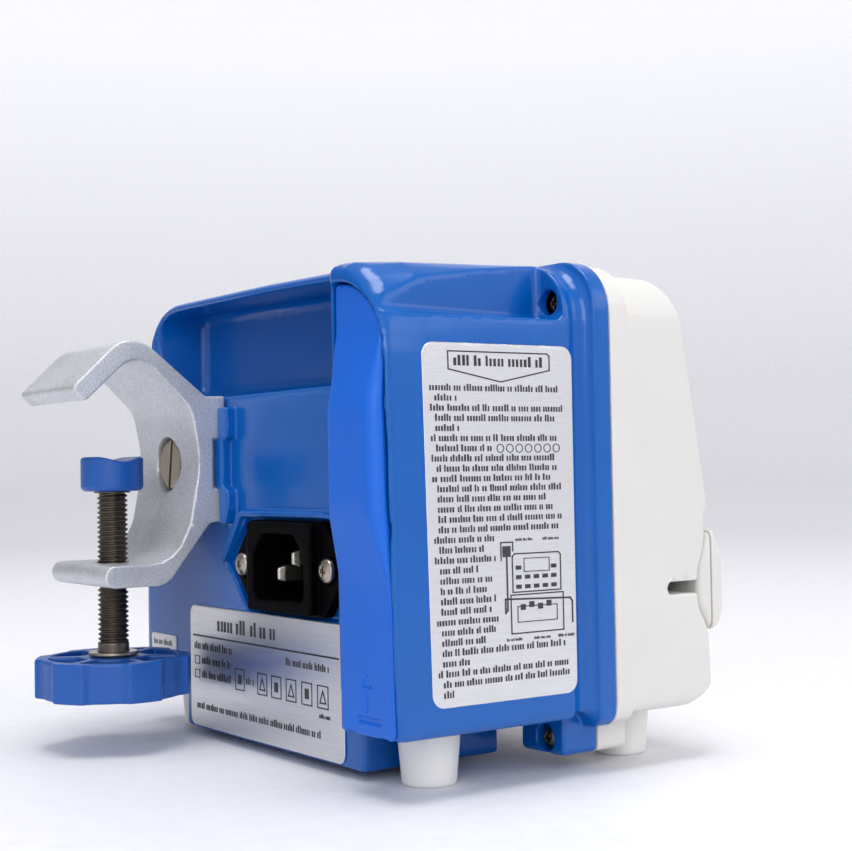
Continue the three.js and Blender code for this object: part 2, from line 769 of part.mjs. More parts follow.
function clamp() {
  const headSeat = 44.6;
  const bracket = prismX(BRACKET_SECTION, CLAMP.x0, CLAMP.x1)
    .subtract(turnedY(rod(4.5, 30, 60), CLAMP_X, CLAMP.boltZ, 20))
    .subtract(turnedY(rod(7.3, headSeat, 60), CLAMP_X, CLAMP.boltZ, 24))
    .subtract(turnedZ(rod(4.5, 30, 60), CLAMP_X, CLAMP.spindleY, 20));
  piece("clamp_bracket", bracket, aluminium());

  const mountScrew = turnedY(
    [
      [0, 32],
      [4, 32],
      [4, headSeat + GAP],
      [6.8, headSeat + GAP],
      [6.8, headSeat + 2.6],
      [6.2, headSeat + 3.1],
      [0, headSeat + 3.1],
    ],
    CLAMP_X,
    CLAMP.boltZ,
    24,
  ).subtract(block(CLAMP_X - 0.8, CLAMP_X + 0.8, headSeat + 1.7, 60, 60, 90));
  piece("clamp_mount_screw", mountScrew, steel());

  const spindle = turnedZ(
    [
      [0, 14.4],
      [3, 14.4],
      [3, KNOB.top + 0.5],
      [3.95, KNOB.top + 0.5],
      [3.95, 65.3],
      [2.4, 65.3],
      [2.4, 70],
      [0, 70],
    ],
    CLAMP_X,
    CLAMP.spindleY,
    20,
  );
  piece("clamp_spindle", spindle, steel());

  const pad = turnedZ(
    [
      [0, 65.8],
      [7.4, 65.8],
      [8, 66.6],
      [8, 74],
      [7.4, 74.7],
      [0, 74.7],
    ],
    CLAMP_X,
    CLAMP.spindleY,
    28,
  )
    .subtract(turnedZ(rod(2.8, 60, 70.6), CLAMP_X, CLAMP.spindleY, 16))
    .subtract(turnedX(rod(9, 20, 60), CLAMP.spindleY, 82.6, 28));
  piece("clamp_pad", pad, blueMatt());

  const washer = turnedZ(
    [
      [4.4, KNOB.top + GAP],
      [6.4, KNOB.top + GAP],
      [6.4, KNOB.top + 1.5],
      [4.4, KNOB.top + 1.5],
      [4.4, KNOB.top + GAP],
    ],
    CLAMP_X,
    CLAMP.spindleY,
    24,
  );
  piece("clamp_washer", washer, steel());
  clampKnob();
}

function clampKnob() {
  const steps = 48;
  const rimPoints = Array.from({ length: steps }, (_, i) => {
    const angle = (i / steps) * 2 * Math.PI;
    const r = KNOB.r + KNOB.lobe * Math.cos(KNOB.lobes * angle);
    return [CLAMP_X + r * Math.cos(angle), CLAMP.spindleY + r * Math.sin(angle)];
  });
  const pockets = Array.from({ length: KNOB.lobes }, (_, i) => {
    const turn = new THREE.Matrix4()
      .makeTranslation(CLAMP_X, CLAMP.spindleY, 0)
      .multiply(new THREE.Matrix4().makeRotationZ((i / KNOB.lobes) * 2 * Math.PI));
    const wedge = [
      [8, -2, 1],
      [16, -5, 1.5],
      [16, 5, 1.5],
      [8, 2, 1],
    ];
    return prismZ(wedge, KNOB.top - 6, KNOB.top + 1, turn);
  });
  const knob = [turnedZ(rod(3.3, KNOB.bottom + 0.8, 40), CLAMP_X, CLAMP.spindleY, 16), ...pockets].reduce(
    (rest, tool) => rest.subtract(tool),
    prismZ(rimPoints, KNOB.bottom, KNOB.top),
  );
  piece("clamp_knob", knob, blueMatt());
}

// ---- Door ----

function door() {
  const profile = [
    [DOOR.innerY, DOOR.top, 0.5],
    [-43.4, DOOR.top, 0.8],
    [-44.2, 54.5, 4],
    [-47.3, 48, 8],
    [-47.3, 34, 8],
    [-43.8, 27.5, 4],
    [-43.2, DOOR.hingeZ],
    [-43.2, 16.2, 2.9],
    [-37.2, 16.2, 2.9],
    [-37.2, 22, 0.5],
    [DOOR.innerY, 23.5],
  ];
  const cuts = [
    block(-19.4, 19.4, -44.6, -30, 30.4, 50.8 - 2),
    prismY(rectangle(-10.4, 10.4, 49.6, 55.6, 2.4), -60, -30),
    turnedX(rod(1.8, -70, 70), DOOR.hingeY, DOOR.hingeZ, 12),
  ];
  const body = cuts.reduce(
    (rest, tool) => rest.subtract(tool),
    prismX(profile, -DOOR.halfWidth, DOOR.halfWidth),
  );
  piece("door", body, white());
  piece("door_hinge_pin", turnedX(rod(1.5, -65.5, 65.5), DOOR.hingeY, DOOR.hingeZ, 12), steel());
  const button = prismY(rectangle(-10, 10, 50, 55.2, 2.2), -45.9, -40.5);
  piece("door_latch", button, blueMatt());
  const platen = prismY(rectangle(-19, 19, 30.8, 48.4, 1), -38.4, -35.7).add(
    block(-12, 12, -42.4, -38, 35, 45),
  );
  piece("platen", platen, acetal());
}

// ---- Pump mechanism behind the door ----

function chassis() {
  const plate = block(-60.5, 60.5, -30, -27.4, 17.6, 55.4);
  const box = block(-21.4, 21.4, -27.6, -3.4, 27, 53.6);
  const inner = block(-17.4, 17.4, -60, 0, TUBE_Z - 10, TUBE_Z + 10);
  const shaftHole = turnedX(rod(SHAFT.r + GAP, -30, 30), SHAFT.y, SHAFT.z, 16);
  const tool = [inner, shaftHole, block(-46, -34, -40, -20, 33, 49), block(31, 41, -40, -20, 34, 47)];
  const made = tool.reduce((rest, cut) => rest.subtract(cut), plate.add(box));
  piece("pump_chassis", made, aluminium());
}

function fingers() {
  const first = (-(FINGERS.count - 1) / 2) * FINGERS.pitch;
  for (let i = 0; i < FINGERS.count; i++) {
    const x = first + i * FINGERS.pitch;
    const blade = prismX(
      [
        [FINGERS.tip, TUBE_Z - 8.6, 1],
        [FINGERS.tip, TUBE_Z + 8.6, 1],
        [-4.8, TUBE_Z + 8.6],
        [-4.8, TUBE_Z - 8.6],
      ],
      x - FINGERS.thick / 2,
      x + FINGERS.thick / 2,
    ).subtract(block(x - 5, x + 5, SHAFT.y - 6.9, SHAFT.y + 6.9, TUBE_Z - 6.2, TUBE_Z + 6.2));
    piece(`finger_${i + 1}`, blade, acetal());
  }
}

// Camshaft: one eccentric for each finger, each turned a sixth of a turn on from the last.
function camshaft() {
  const first = (-(FINGERS.count - 1) / 2) * FINGERS.pitch;
  const shaft = turnedX(rod(SHAFT.r, -21, GEAR.x1 + 1), SHAFT.y, SHAFT.z, 16);
  const cams = Array.from({ length: FINGERS.count }, (_, i) => {
    const x = first + i * FINGERS.pitch;
    const angle = (i / FINGERS.count) * 2 * Math.PI;
    return turnedX(rod(4.4, x - 2.6, x + 2.6), SHAFT.y + Math.cos(angle), SHAFT.z + Math.sin(angle), 20);
  });
  const gear = prismX(gearOutline(GEAR.teeth, SHAFT.y, SHAFT.z, 0), GEAR.x0, GEAR.x1);
  piece(
    "camshaft",
    [...cams, gear].reduce((whole, part) => whole.add(part), shaft),
    steel(),
  );
}

// A gear's outline about (y, z), with a tooth centred on the given angle.
function gearOutline(teeth, y, z, angle) {
  const pitchR = (GEAR.module * teeth) / 2;
  const tipR = pitchR + 0.8 * GEAR.module;
  const rootR = pitchR - 1.15 * GEAR.module;
  const step = (2 * Math.PI) / teeth;
  const points = [];
  for (let i = 0; i < teeth; i++) {
    for (const [offset, r] of [
      [-0.3, rootR],
      [-0.1, tipR],
      [0.1, tipR],
      [0.3, rootR],
    ]) {
      const at = angle + (i + offset) * step;
      points.push([y + r * Math.cos(at), z + r * Math.sin(at)]);
    }
  }
  return points;
}

function motorDrive() {
  const spread = (GEAR.module * (GEAR.teeth + GEAR.pinionTeeth)) / 2 + 0.1;
  const y = SHAFT.y + spread * Math.cos(MOTOR_ANGLE);
  const z = SHAFT.z + spread * Math.sin(MOTOR_ANGLE);
  const gearStep = (2 * Math.PI) / GEAR.teeth;
  const pinionStep = (2 * Math.PI) / GEAR.pinionTeeth;
  // A gear gap or tooth lies some way past the line of centres: the pinion is turned to match it.
  const phase = (MOTOR_ANGLE / gearStep) % 1;
  const pinionAngle = MOTOR_ANGLE + Math.PI + (phase + 0.5) * pinionStep;
  const pinion = prismX(gearOutline(GEAR.pinionTeeth, y, z, pinionAngle), GEAR.x0, GEAR.x1).add(
    turnedX(rod(2, GEAR.x1 - 1, 36), y, z, 14),
  );
  piece("motor_pinion", pinion, brass());
  const half = 14;
  const can = prismX(rectangle(y - half, y + half, z - half, z + half, 3), 29, 60).subtract(
    turnedX(rod(2.4, 20, 37), y, z, 14),
  );
  piece("motor", can, material(0x4a4c50, 0.4, 1));
}

function sensors() {
  const airDetector = block(-45.4, -34.6, -35, -22, 33.6, 48.4).subtract(
    block(-50, -30, -50, -30.6, TUBE_Z - 2.3, TUBE_Z + 2.3),
  );
  piece("air_detector", airDetector, blackPlastic());
  piece("pressure_sensor", prismY(rectangle(31.6, 40.4, 34.6, 46.4, 1.5), -31.3, -20), steel());
  const jaw = block(-31, -24.5, -35, -30.3, TUBE_Z + 2.6, TUBE_Z + 7.6).add(
    block(-31, -24.5, -31.3, -30.3, TUBE_Z - 6, TUBE_Z + 7.6),
  );
  piece("free_flow_clamp", jaw, blueMatt());
}

// ---- Display, keys and boards, in the panel's frame ----

function frontPanel() {
  const overlay = keyPlaces.reduce(
    (rest, at) => rest.subtract(prismY(keyOutline(at, GAP), -3, 3, ON_PANEL)),
    prismY(
      rectangle(-PANEL.halfWidth, PANEL.halfWidth, -PANEL.halfHeight, PANEL.halfHeight, 4),
      0,
      PANEL.thick,
      ON_PANEL,
    ).subtract(block(-33, 33, -3, 3, -14, 15, ON_PANEL)),
  );
  piece("front_panel", overlay, material(0xdfe3ea, 0.5));
  const lens = prismY(rectangle(-32.7, 32.7, -13.7, 14.7, 1), 0, 1.2, ON_PANEL);
  piece("display_lens", lens, material(0x20262c, 0.1));
  piece("display_module", block(-35, 35, 1.7, 7.2, -16, 17, ON_PANEL), material(0x2c3a30, 0.3));
  piece("main_board", block(-63, 63, 9, 10.6, -20, 19, ON_PANEL), boardGreen());
  keyPlaces.forEach((at, i) => {
    const cap = prismY(keyOutline(at, 0), -KEY.proud, KEY.depth, ON_PANEL);
    const flange = prismY(keyOutline(at, 1), KEY.depth, KEY.depth + 1, ON_PANEL);
    piece(KEY_NAMES[i], cap.add(flange), silicone());
  });
}

function powerBoard() {
  const board = block(-39, 39, 6, 35, 7, 8.6);
  const transformer = block(6, 28, 10, 30, 8.4, 25);
  const capacitor = turnedZ(rod(6.5, 8.4, 28), -24, 18, 16);
  piece("power_board", board.add(transformer).add(capacitor), boardGreen());
}

rearShell();
batteryCover();
batteryPack();
frontHousing();
housingSeal();
indicatorLens();
feet();
caseScrews();
labels();
inlet();
clamp();
door();
chassis();
fingers();
camshaft();
motorDrive();
sensors();
frontPanel();
powerBoard();

pump.position.y = -MIDDLE_Y;

export default pump;
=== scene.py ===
"""Looks of a bedside infusion pump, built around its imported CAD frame.

Most pieces are solids described by distance fields in millimetres: outlines and slabs joined and cut
with rounded edges, then meshed with OpenVDB. Lengths are in millimetres in the pump's own frame,
with Y = 0 midway between the front and rear feet; surface() moves them into the CAD frame in metres.
"""

import json
import math
import random

import bmesh
import bpy
import numpy as np
import openvdb
from mathutils import Matrix, Vector


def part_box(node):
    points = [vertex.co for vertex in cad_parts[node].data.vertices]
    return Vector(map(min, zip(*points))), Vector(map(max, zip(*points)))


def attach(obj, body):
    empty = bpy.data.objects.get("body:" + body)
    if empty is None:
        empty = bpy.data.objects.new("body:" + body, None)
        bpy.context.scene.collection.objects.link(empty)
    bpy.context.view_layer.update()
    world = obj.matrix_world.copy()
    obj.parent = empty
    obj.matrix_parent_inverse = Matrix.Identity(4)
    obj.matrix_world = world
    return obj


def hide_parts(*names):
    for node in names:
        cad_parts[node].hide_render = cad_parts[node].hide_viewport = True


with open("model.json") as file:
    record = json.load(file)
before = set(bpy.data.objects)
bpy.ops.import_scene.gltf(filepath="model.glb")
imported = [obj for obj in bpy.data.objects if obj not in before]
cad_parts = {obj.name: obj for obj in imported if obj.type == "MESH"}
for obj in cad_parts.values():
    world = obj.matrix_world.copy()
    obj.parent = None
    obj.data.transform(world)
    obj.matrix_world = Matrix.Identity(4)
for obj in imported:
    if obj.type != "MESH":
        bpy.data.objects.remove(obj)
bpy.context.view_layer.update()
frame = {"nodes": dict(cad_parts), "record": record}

MM = 0.001
PUMP_Y = (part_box("foot_rear_left")[0].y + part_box("foot_front_left")[1].y) / 2 / MM
BODY_OF = {node: body for body, nodes in frame["record"]["behaviour"]["bodies"].items() for node in nodes}

# ---- Driving dimensions, millimetres ----

WALL = 2.4  # thickness of the moulded walls
GAP = 0.3  # clearance between neighbouring pieces
SEAM_Y = -9.9  # where the two housing halves meet
RIM_REAR = -4.6
RIM = [(-72.8, 10.5, 4), (72.8, 10.5, 4), (72.8, 118.3, 12), (-72.8, 118.3, 12)]
RIM_FOOT = 71.1  # half width of the side walls where they spring from the rim
BODY = {"low": 70.5, "high": 67.3, "bottom": 13, "top": 117.6, "rear": 40.1, "corner": 14}
COVER_SEAT_Y = 46.7
FRONT_WIDTH = 73  # half width of the white housing
DOOR_HALF = 61
BULGE_Y = -47.3  # front of the door's bulge over the tube
HINGE_Y, HINGE_Z = -40.2, 19.2
TILT = math.radians(-9.64)  # lean of the display face
PANEL_Y, PANEL_Z = -40.3, 86
TUBE_Z = 40.6
INLET_Z = 47
KEY_X, KEY_PITCH = 50, 9.8
KEY_PLACES = {
    key: (-KEY_X if index < 4 else KEY_X, (1.5 - index % 4) * KEY_PITCH)
    for index, key in enumerate(("power", "rate", "volume", "purge", "start", "stop", "enter", "mute"))
}


def place(node):
    """Lowest and highest corner of a CAD node, in millimetres in the pump's own frame."""
    low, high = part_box(node)
    shift = np.array((0, PUMP_Y, 0))
    return np.array(low) / MM - shift, np.array(high) / MM - shift


def middle(node):
    low, high = place(node)
    return (low + high) / 2


# ---- Distance fields ----


class Space:
    """A block of sample points: x, y and z broadcast against each other."""

    def __init__(self, low, high, step):
        self.low = np.array(low, float)
        self.step = step
        axes = [np.arange(a, b + step, step, dtype=np.float32) for a, b in zip(low, high)]
        self.x = axes[0][:, None, None]
        self.y = axes[1][None, :, None]
        self.z = axes[2][None, None, :]
        self.shape = tuple(len(a) for a in axes)

    def xz(self, corners):
        """Field of an outline in (x, z), drawn out along y."""
        return profile(self.x[:, 0], self.z[0], corners)[:, None, :]

    def yz(self, corners):
        return profile(self.y[0], self.z[0], corners)[None, :, :]

    def xy(self, corners):
        return profile(self.x[:, 0], self.y[0].T, corners)[:, :, None]


def rounded(corners):
    """Points of a closed outline from (a, b, radius) corners, each rounded by an arc of its radius."""
    points, steps = [], 8
    for i, corner in enumerate(corners):
        here = np.array(corner[:2], float)
        radius = corner[2] if len(corner) > 2 else 0
        if radius == 0:
            points.append(here)
            continue
        back = np.array(corners[i - 1][:2], float) - here
        on = np.array(corners[(i + 1) % len(corners)][:2], float) - here
        back /= np.linalg.norm(back)
        on /= np.linalg.norm(on)
        half = math.acos(max(-1, min(1, back @ on))) / 2
        bisector = (back + on) / np.linalg.norm(back + on)
        centre = here + bisector * radius / math.sin(half)
        start = here + back * radius / math.tan(half) - centre
        end = here + on * radius / math.tan(half) - centre
        turn = math.atan2(start[0] * end[1] - start[1] * end[0], start @ end)
        first = math.atan2(start[1], start[0])
        for s in range(steps + 1):
            angle = first + turn * s / steps
            points.append(centre + radius * np.array((math.cos(angle), math.sin(angle))))
    return np.array(points)


def edge_distance(a, b, starts, ends):
    """Distance from each (a, b) to the nearest of several straight edges."""
    nearest = np.full(np.broadcast(a, b).shape, 1e9, np.float32)
    for start, end in zip(starts, ends):
        edge = end - start
        along = ((a - start[0]) * edge[0] + (b - start[1]) * edge[1]) / max(edge @ edge, 1e-12)
        along = np.clip(along, 0, 1)
        gap = (a - start[0] - along * edge[0]) ** 2 + (b - start[1] - along * edge[1]) ** 2
        nearest = np.minimum(nearest, gap)
    return np.sqrt(nearest).astype(np.float32)


def profile(a, b, corners):
    """Signed distance to a closed outline in the (a, b) plane, negative inside."""
    points = rounded(corners)
    following = np.roll(points, -1, axis=0)
    nearest = edge_distance(a, b, points, following)
    inside = np.zeros(nearest.shape, bool)
    for start, end in zip(points, following):
        if start[1] != end[1]:
            reach = start[0] + (b - start[1]) * (end[0] - start[0]) / (end[1] - start[1])
            inside ^= ((start[1] > b) != (end[1] > b)) & (a < reach)
    return np.where(inside, -nearest, nearest)


def stroke(a, b, corners, half):
    """Distance to an open path of (a, b, radius) corners drawn half a width wide."""
    points = rounded(corners)
    return edge_distance(a, b, points[:-1], points[1:]) - half


def slab(t, low, high):
    return abs(t - (low + high) / 2) - (high - low) / 2


def either(a, b, r=0):
    """Both solids joined, with a fillet of radius r where they meet."""
    if np.ndim(r) == 0 and r == 0:
        return np.minimum(a, b)
    return np.maximum(r, np.minimum(a, b)) - np.hypot(np.maximum(r - a, 0), np.maximum(r - b, 0))


def both(a, b, r=0):
    """The solid inside both fields, with its edge rounded to radius r."""
    if np.ndim(r) == 0 and r == 0:
        return np.maximum(a, b)
    return np.minimum(-r, np.maximum(a, b)) + np.hypot(np.maximum(r + a, 0), np.maximum(r + b, 0))


def without(a, b, r=0):
    """Solid a cut by solid b, with the cut's rim rounded to radius r."""
    return both(a, -b, r)


def carved(form, cuts):
    """A solid with several (cut, rim radius) pairs taken from it in turn."""
    for cut, r in cuts:
        form = without(form, cut, r)
    return form


def block(a, b, low_a, high_a, low_b, high_b, r=0):
    """A rectangle's field in the (a, b) plane, with rounded corners."""
    return both(slab(a, low_a, high_a), slab(b, low_b, high_b), r)


def hole(s, x, z, radius, low=-200, high=200):
    """A round hole or boss along Y."""
    return both(np.hypot(s.x - x, s.z - z) - radius, slab(s.y, low, high))


def turned(s, corners, cx, cy, axis="z"):
    """A solid of revolution about an upright axis at (cx, cy), or about a Y axis at x = cx, z = cy."""
    across, along = (s.y, s.z) if axis == "z" else (s.z, s.y)
    radius = np.hypot(s.x - cx, across - cy)
    fine = s.step / 4
    radii = np.arange(0, radius.max() + 2 * fine, fine, dtype=np.float32)
    table = profile(radii[:, None], along.ravel()[None, :], corners)
    where = radius.squeeze() / fine
    low = where.astype(int)
    share = (where - low)[..., None]
    field = table[low] * (1 - share) + table[low + 1] * share
    return field if axis == "z" else np.swapaxes(field, 1, 2)


def sampled(s, field, points):
    """The field at any points, from the eight samples round each."""
    at = (points - s.low) / s.step
    cell = np.clip(np.floor(at).astype(int), 0, np.array(field.shape) - 2)
    part = at - cell
    total = np.zeros(len(points))
    for corner in np.ndindex(2, 2, 2):
        weight = np.prod(np.where(corner, part, 1 - part), axis=1)
        i, j, k = (cell + corner).T
        total += weight * field[i, j, k]
    return total


def slope(s, field, points):
    """Unit direction in which the field grows at each point."""
    steps = np.eye(3) * s.step * 0.5
    out = np.stack([sampled(s, field, points + d) - sampled(s, field, points - d) for d in steps], axis=1)
    return out / np.maximum(np.linalg.norm(out, axis=1, keepdims=True), 1e-9)


def corner_normals(s, field, points, faces):
    """A normal for each face corner: a large face takes it a step inside, so that its edges stay crisp."""
    centres = points[faces].mean(axis=1)
    inward = centres[:, None, :] - points[faces]
    length = np.linalg.norm(inward, axis=2, keepdims=True)
    share = np.where(length > 1.6 * s.step, 1.2 * s.step / np.maximum(length, 1e-9), 0)
    return slope(s, field, (points[faces] + inward * share).reshape(-1, 3))


def surface(name, s, field, finish, body=None, at=None):
    """Meshes the field's surface as one piece of the pump; at is a matrix in millimetres."""
    field = np.ascontiguousarray(np.broadcast_to(field, s.shape), dtype=np.float32)
    band = 3 * s.step
    grid = openvdb.FloatGrid(band)
    grid.copyFromArray(np.clip(field, -band, band), tolerance=0.0)
    points, triangles, quads = grid.convertToPolygons(isovalue=0.0, adaptivity=0.02)
    points = points.astype(float) * s.step + s.low
    points -= slope(s, field, points) * sampled(s, field, points)[:, None]
    faces = [f.astype(int) for f in (triangles, quads) if len(f)]
    normals = np.concatenate([corner_normals(s, field, points, f) for f in faces])
    matrix = Matrix.Translation((0, PUMP_Y, 0)) @ (at or Matrix())
    turn = np.array(matrix.to_3x3())
    points = (points @ turn.T + np.array(matrix.translation)) * MM
    mesh = bpy.data.meshes.new(name)
    mesh.from_pydata(points.tolist(), [], [face for f in faces for face in f.tolist()])
    mesh.polygons.foreach_set("use_smooth", [True] * len(mesh.polygons))
    mesh.normals_split_custom_set((normals @ turn.T).tolist())
    mounted(name, mesh, finish, body)


def in_scene(name, data):
    thing = bpy.data.objects.new(name, data)
    bpy.context.scene.collection.objects.link(thing)
    return thing


def mounted(name, mesh, finish, body=None):
    """Puts a mesh in the scene: it stands for the CAD node of its name, or rides on the body given."""
    piece = in_scene(name, mesh)
    mesh.materials.append(finish)
    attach(piece, body or BODY_OF[name])
    if name in BODY_OF:
        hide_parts(name)


# ---- Finishes ----


def linear(colour):
    """Linear light from 0-255 display values."""
    return [(c / 255 / 12.92) if c < 11 else ((c / 255 + 0.055) / 1.055) ** 2.4 for c in colour]


class Graph:
    """A material's node graph, built call by call."""

    def __init__(self, name):
        self.material = bpy.data.materials.new(name)
        self.material.use_nodes = True
        self.tree = self.material.node_tree
        self.surface = self.tree.nodes["Principled BSDF"]
        self.place = self.add("ShaderNodeTexCoord").outputs["Object"]

    def feed(self, node, inputs):
        """Sets or links a node's inputs, given by place or by name."""
        for key, value in inputs.items():
            if isinstance(value, bpy.types.NodeSocket):
                self.tree.links.new(value, node.inputs[key])
            else:
                node.inputs[key].default_value = value

    def add(self, kind, **inputs):
        node = self.tree.nodes.new(kind)
        self.feed(node, inputs)
        return node

    def maths(self, kind, operation, first, second):
        """Two numbers or vectors worked out together."""
        node = self.add(kind)
        node.operation = operation
        self.feed(node, {0: first, 1: second})
        return node

    def finish(self, **inputs):
        """Sets the surface, the spaces in its input names written as underscores, and gives the material."""
        self.feed(self.surface, {key.replace("_", " "): value for key, value in inputs.items()})
        return self.material

    def noise(self, size, stretch=(1, 1, 1), detail=2.0):
        """Noise whose features are about size millimetres, drawn out by stretch along each axis."""
        mapping = self.add("ShaderNodeMapping", Vector=self.place)
        mapping.inputs["Scale"].default_value = [1 / (size * MM * s) for s in stretch]
        noise = self.add("ShaderNodeTexNoise", Vector=mapping.outputs[0], Scale=1.0, Detail=detail)
        return noise.outputs["Fac"]

    def ramp(self, value, start, end, low, high):
        """Maps start..end to low..high."""
        inputs = {"From Min": start, "From Max": end, "To Min": low, "To Max": high}
        return self.add("ShaderNodeMapRange", Value=value, **inputs).outputs[0]

    def spread(self, value, low, high):
        """Maps the middle of a noise's range to low..high."""
        return self.ramp(value, 0.3, 0.7, low, high)

    def blend(self, share, first, second):
        mix = self.add("ShaderNodeMix")
        mix.data_type = "RGBA"
        self.feed(mix, {0: share, 6: first, 7: second})
        return mix.outputs[2]

    def tones(self, share, colour, less, more):
        """A colour that varies between less and more times its own brightness."""
        base = linear(colour)
        return self.blend(share, *([min(1, c * by) for c in base] + [1] for by in (less, more)))

    def bump(self, height, depth, before=None):
        """Normals raised by height times depth millimetres."""
        under = {} if before is None else {"Normal": before}
        return self.add("ShaderNodeBump", Height=height, Distance=depth * MM, **under).outputs[0]


def plastic(name, colour, rough, grain=0.004, grain_size=0.35, mottle=0.05, coat=0.0, shine=0.5, depth=0.0):
    """Moulded plastic: slight mottling, a fine moulded grain and patchy gloss."""
    g = Graph(name)
    fine = g.bump(g.noise(grain_size, detail=3), grain)
    if depth:
        g.finish(Subsurface_Weight=1.0, Subsurface_Radius=(1.0, 0.9, 0.8), Subsurface_Scale=depth * MM)
    return g.finish(
        Base_Color=g.tones(g.spread(g.noise(18), 0, 1), colour, 1 - mottle, 1 + mottle),
        Roughness=g.spread(g.noise(7, detail=5), rough - 0.035, rough + 0.035),
        Normal=g.bump(g.noise(9), grain * 2.5, before=fine),
        Coat_Weight=coat,
        Coat_Roughness=0.08,
        Specular_IOR_Level=shine,
    )


def metal(name, colour, rough, grain=0.003, size=0.3, stretch=(1, 1, 1), contrast=0.12):
    """Bare metal: its grain, turned or brushed along an axis, varies colour, gloss and height."""
    g = Graph(name)
    streaks = g.noise(size, stretch, detail=4)
    return g.finish(
        Base_Color=g.tones(g.spread(streaks, 0, 1), colour, 1 - contrast, 1 + contrast),
        Metallic=1.0,
        Roughness=g.spread(streaks, rough + 0.08, rough - 0.06),
        Normal=g.bump(streaks, grain),
    )


def blasted(name, colour, rough):
    """Sand-blasted, clear-anodised aluminium: a satin skin with fine bright specks."""
    g = Graph(name)
    fine = g.noise(0.22, detail=2)
    specks = g.tones(g.spread(g.noise(0.5, detail=4), 0, 1), colour, 0.78, 1.12)
    cloud = g.spread(g.noise(14, detail=3), 0.9, 1.06)
    return g.finish(
        Base_Color=g.maths("ShaderNodeVectorMath", "MULTIPLY", specks, cloud).outputs[0],
        Metallic=0.55,
        Roughness=g.spread(fine, rough - 0.08, rough + 0.12),
        Normal=g.bump(fine, 0.03, before=g.bump(g.noise(0.9), 0.02)),
    )


def window(name, colour, rough):
    """A tinted clear window with faint wipe marks in its gloss."""
    g = Graph(name)
    wiped = g.noise(3, stretch=(8, 1, 1), detail=5)
    return g.finish(
        Base_Color=linear(colour) + [1],
        Transmission_Weight=0.92,
        IOR=1.49,
        Roughness=g.spread(wiped, rough, rough + 0.05),
        Normal=g.bump(wiped, 0.001),
    )


BLUE_GLOSS = plastic("shell_blue", (0, 88, 172), 0.22, 0.0015, 0.6, mottle=0.03, coat=0.1, shine=0.4)
BLUE_MATT = plastic("cover_blue", (2, 98, 208), 0.44, grain=0.006, grain_size=0.3, mottle=0.03, shine=0.4)
BLUE_KNOB = plastic("knob_blue", (10, 82, 166), 0.42, grain=0.008, grain_size=0.35, mottle=0.05)
WHITE = plastic("housing_white", (218, 217, 213), 0.42, grain=0.005, grain_size=0.35, mottle=0.015, depth=0.6)
SILICONE = plastic("milky_silicone", (236, 235, 230), 0.5, grain=0.003, mottle=0.03, depth=4)
BLACK = plastic("inlet_black", (3, 3, 5), 0.5, grain=0.008, grain_size=0.4, mottle=0.15, shine=0.04)
ACETAL = plastic("acetal", (226, 223, 212), 0.38, grain=0.003, mottle=0.02, depth=1)
SEAL = plastic("foam_seal", (44, 46, 50), 0.85, grain=0.05, grain_size=0.5, mottle=0.2)
WRAP = plastic("cell_wrap", (38, 44, 56), 0.3, grain=0.02, grain_size=3, mottle=0.1, coat=0.4)
OVERLAY = plastic("overlay_film", (214, 219, 228), 0.36, grain=0.006, grain_size=0.25, mottle=0.01)
SCREEN_INK = plastic("screen_ink", (22, 34, 30), 0.5, grain=0.002, mottle=0.1)
BOARD = plastic("board_green", (24, 92, 58), 0.35, grain=0.01, grain_size=0.8, mottle=0.25, coat=0.3)
DISPLAY = plastic("display_face", (150, 172, 148), 0.4, grain=0.004, mottle=0.08)
LENS = plastic("indicator_lens", (240, 240, 234), 0.25, grain=0.001, mottle=0.02, coat=0.5, depth=3)
PAPER = plastic("label_paper", (236, 236, 234), 0.5, grain=0.004, grain_size=0.2, mottle=0.01)
INK = plastic("label_ink", (44, 44, 48), 0.5, grain=0.002, grain_size=0.15, mottle=0.3)
DIM_INK = plastic("dim_ink", (92, 93, 98), 0.5, grain=0.002, grain_size=0.15, mottle=0.3)
STEEL = metal("turned_steel", (176, 166, 152), 0.3, size=0.12, contrast=0.25)
DARK_STEEL = metal("oxidised_steel", (112, 104, 94), 0.34, size=0.15, contrast=0.3)
NICKEL = metal("nickel_pins", (214, 210, 198), 0.3, size=0.1, stretch=(1, 6, 1), contrast=0.1)
BRASS = metal("brass", (196, 160, 92), 0.32, size=0.2, stretch=(6, 1, 1), contrast=0.12)
MOTOR = metal("motor_can", (86, 88, 94), 0.42, size=0.3, stretch=(8, 1, 1), contrast=0.2)
SILVER = metal("brushed_label", (218, 218, 221), 0.36, 0.002, 0.2, stretch=(1, 60, 1), contrast=0.05)
SILVER_ACROSS = metal("brushed_label_across", (218, 218, 221), 0.36, 0.002, 0.2, (60, 1, 1), contrast=0.05)
ANODISED = blasted("blasted_aluminium", (212, 214, 218), 0.46)
GLASS = window("display_window", (206, 214, 216), 0.04)


# ---- Rear shell ----


def cover_outline(grow):
    """The battery cover's edge in (x, z), straight inside and arched towards the outer top corner."""
    return [
        (-68.9 - grow, 13.4 - grow, 2),
        (-48.2 + grow, 13.4 - grow, 1),
        (-48.2 + grow, 111 + grow, 1.2),
        (-66.1 - grow, 111 + grow, 16.5 + grow),
    ]


def body_outline(low, high, inset, top_radius):
    """The body's end view from its half widths at the bottom and the top."""
    return [
        (-low + inset, BODY["bottom"] + inset, 2.5),
        (low - inset, BODY["bottom"] + inset, 2.5),
        (high - inset, BODY["top"] - inset, top_radius),
        (-high + inset, BODY["top"] - inset, top_radius),
    ]


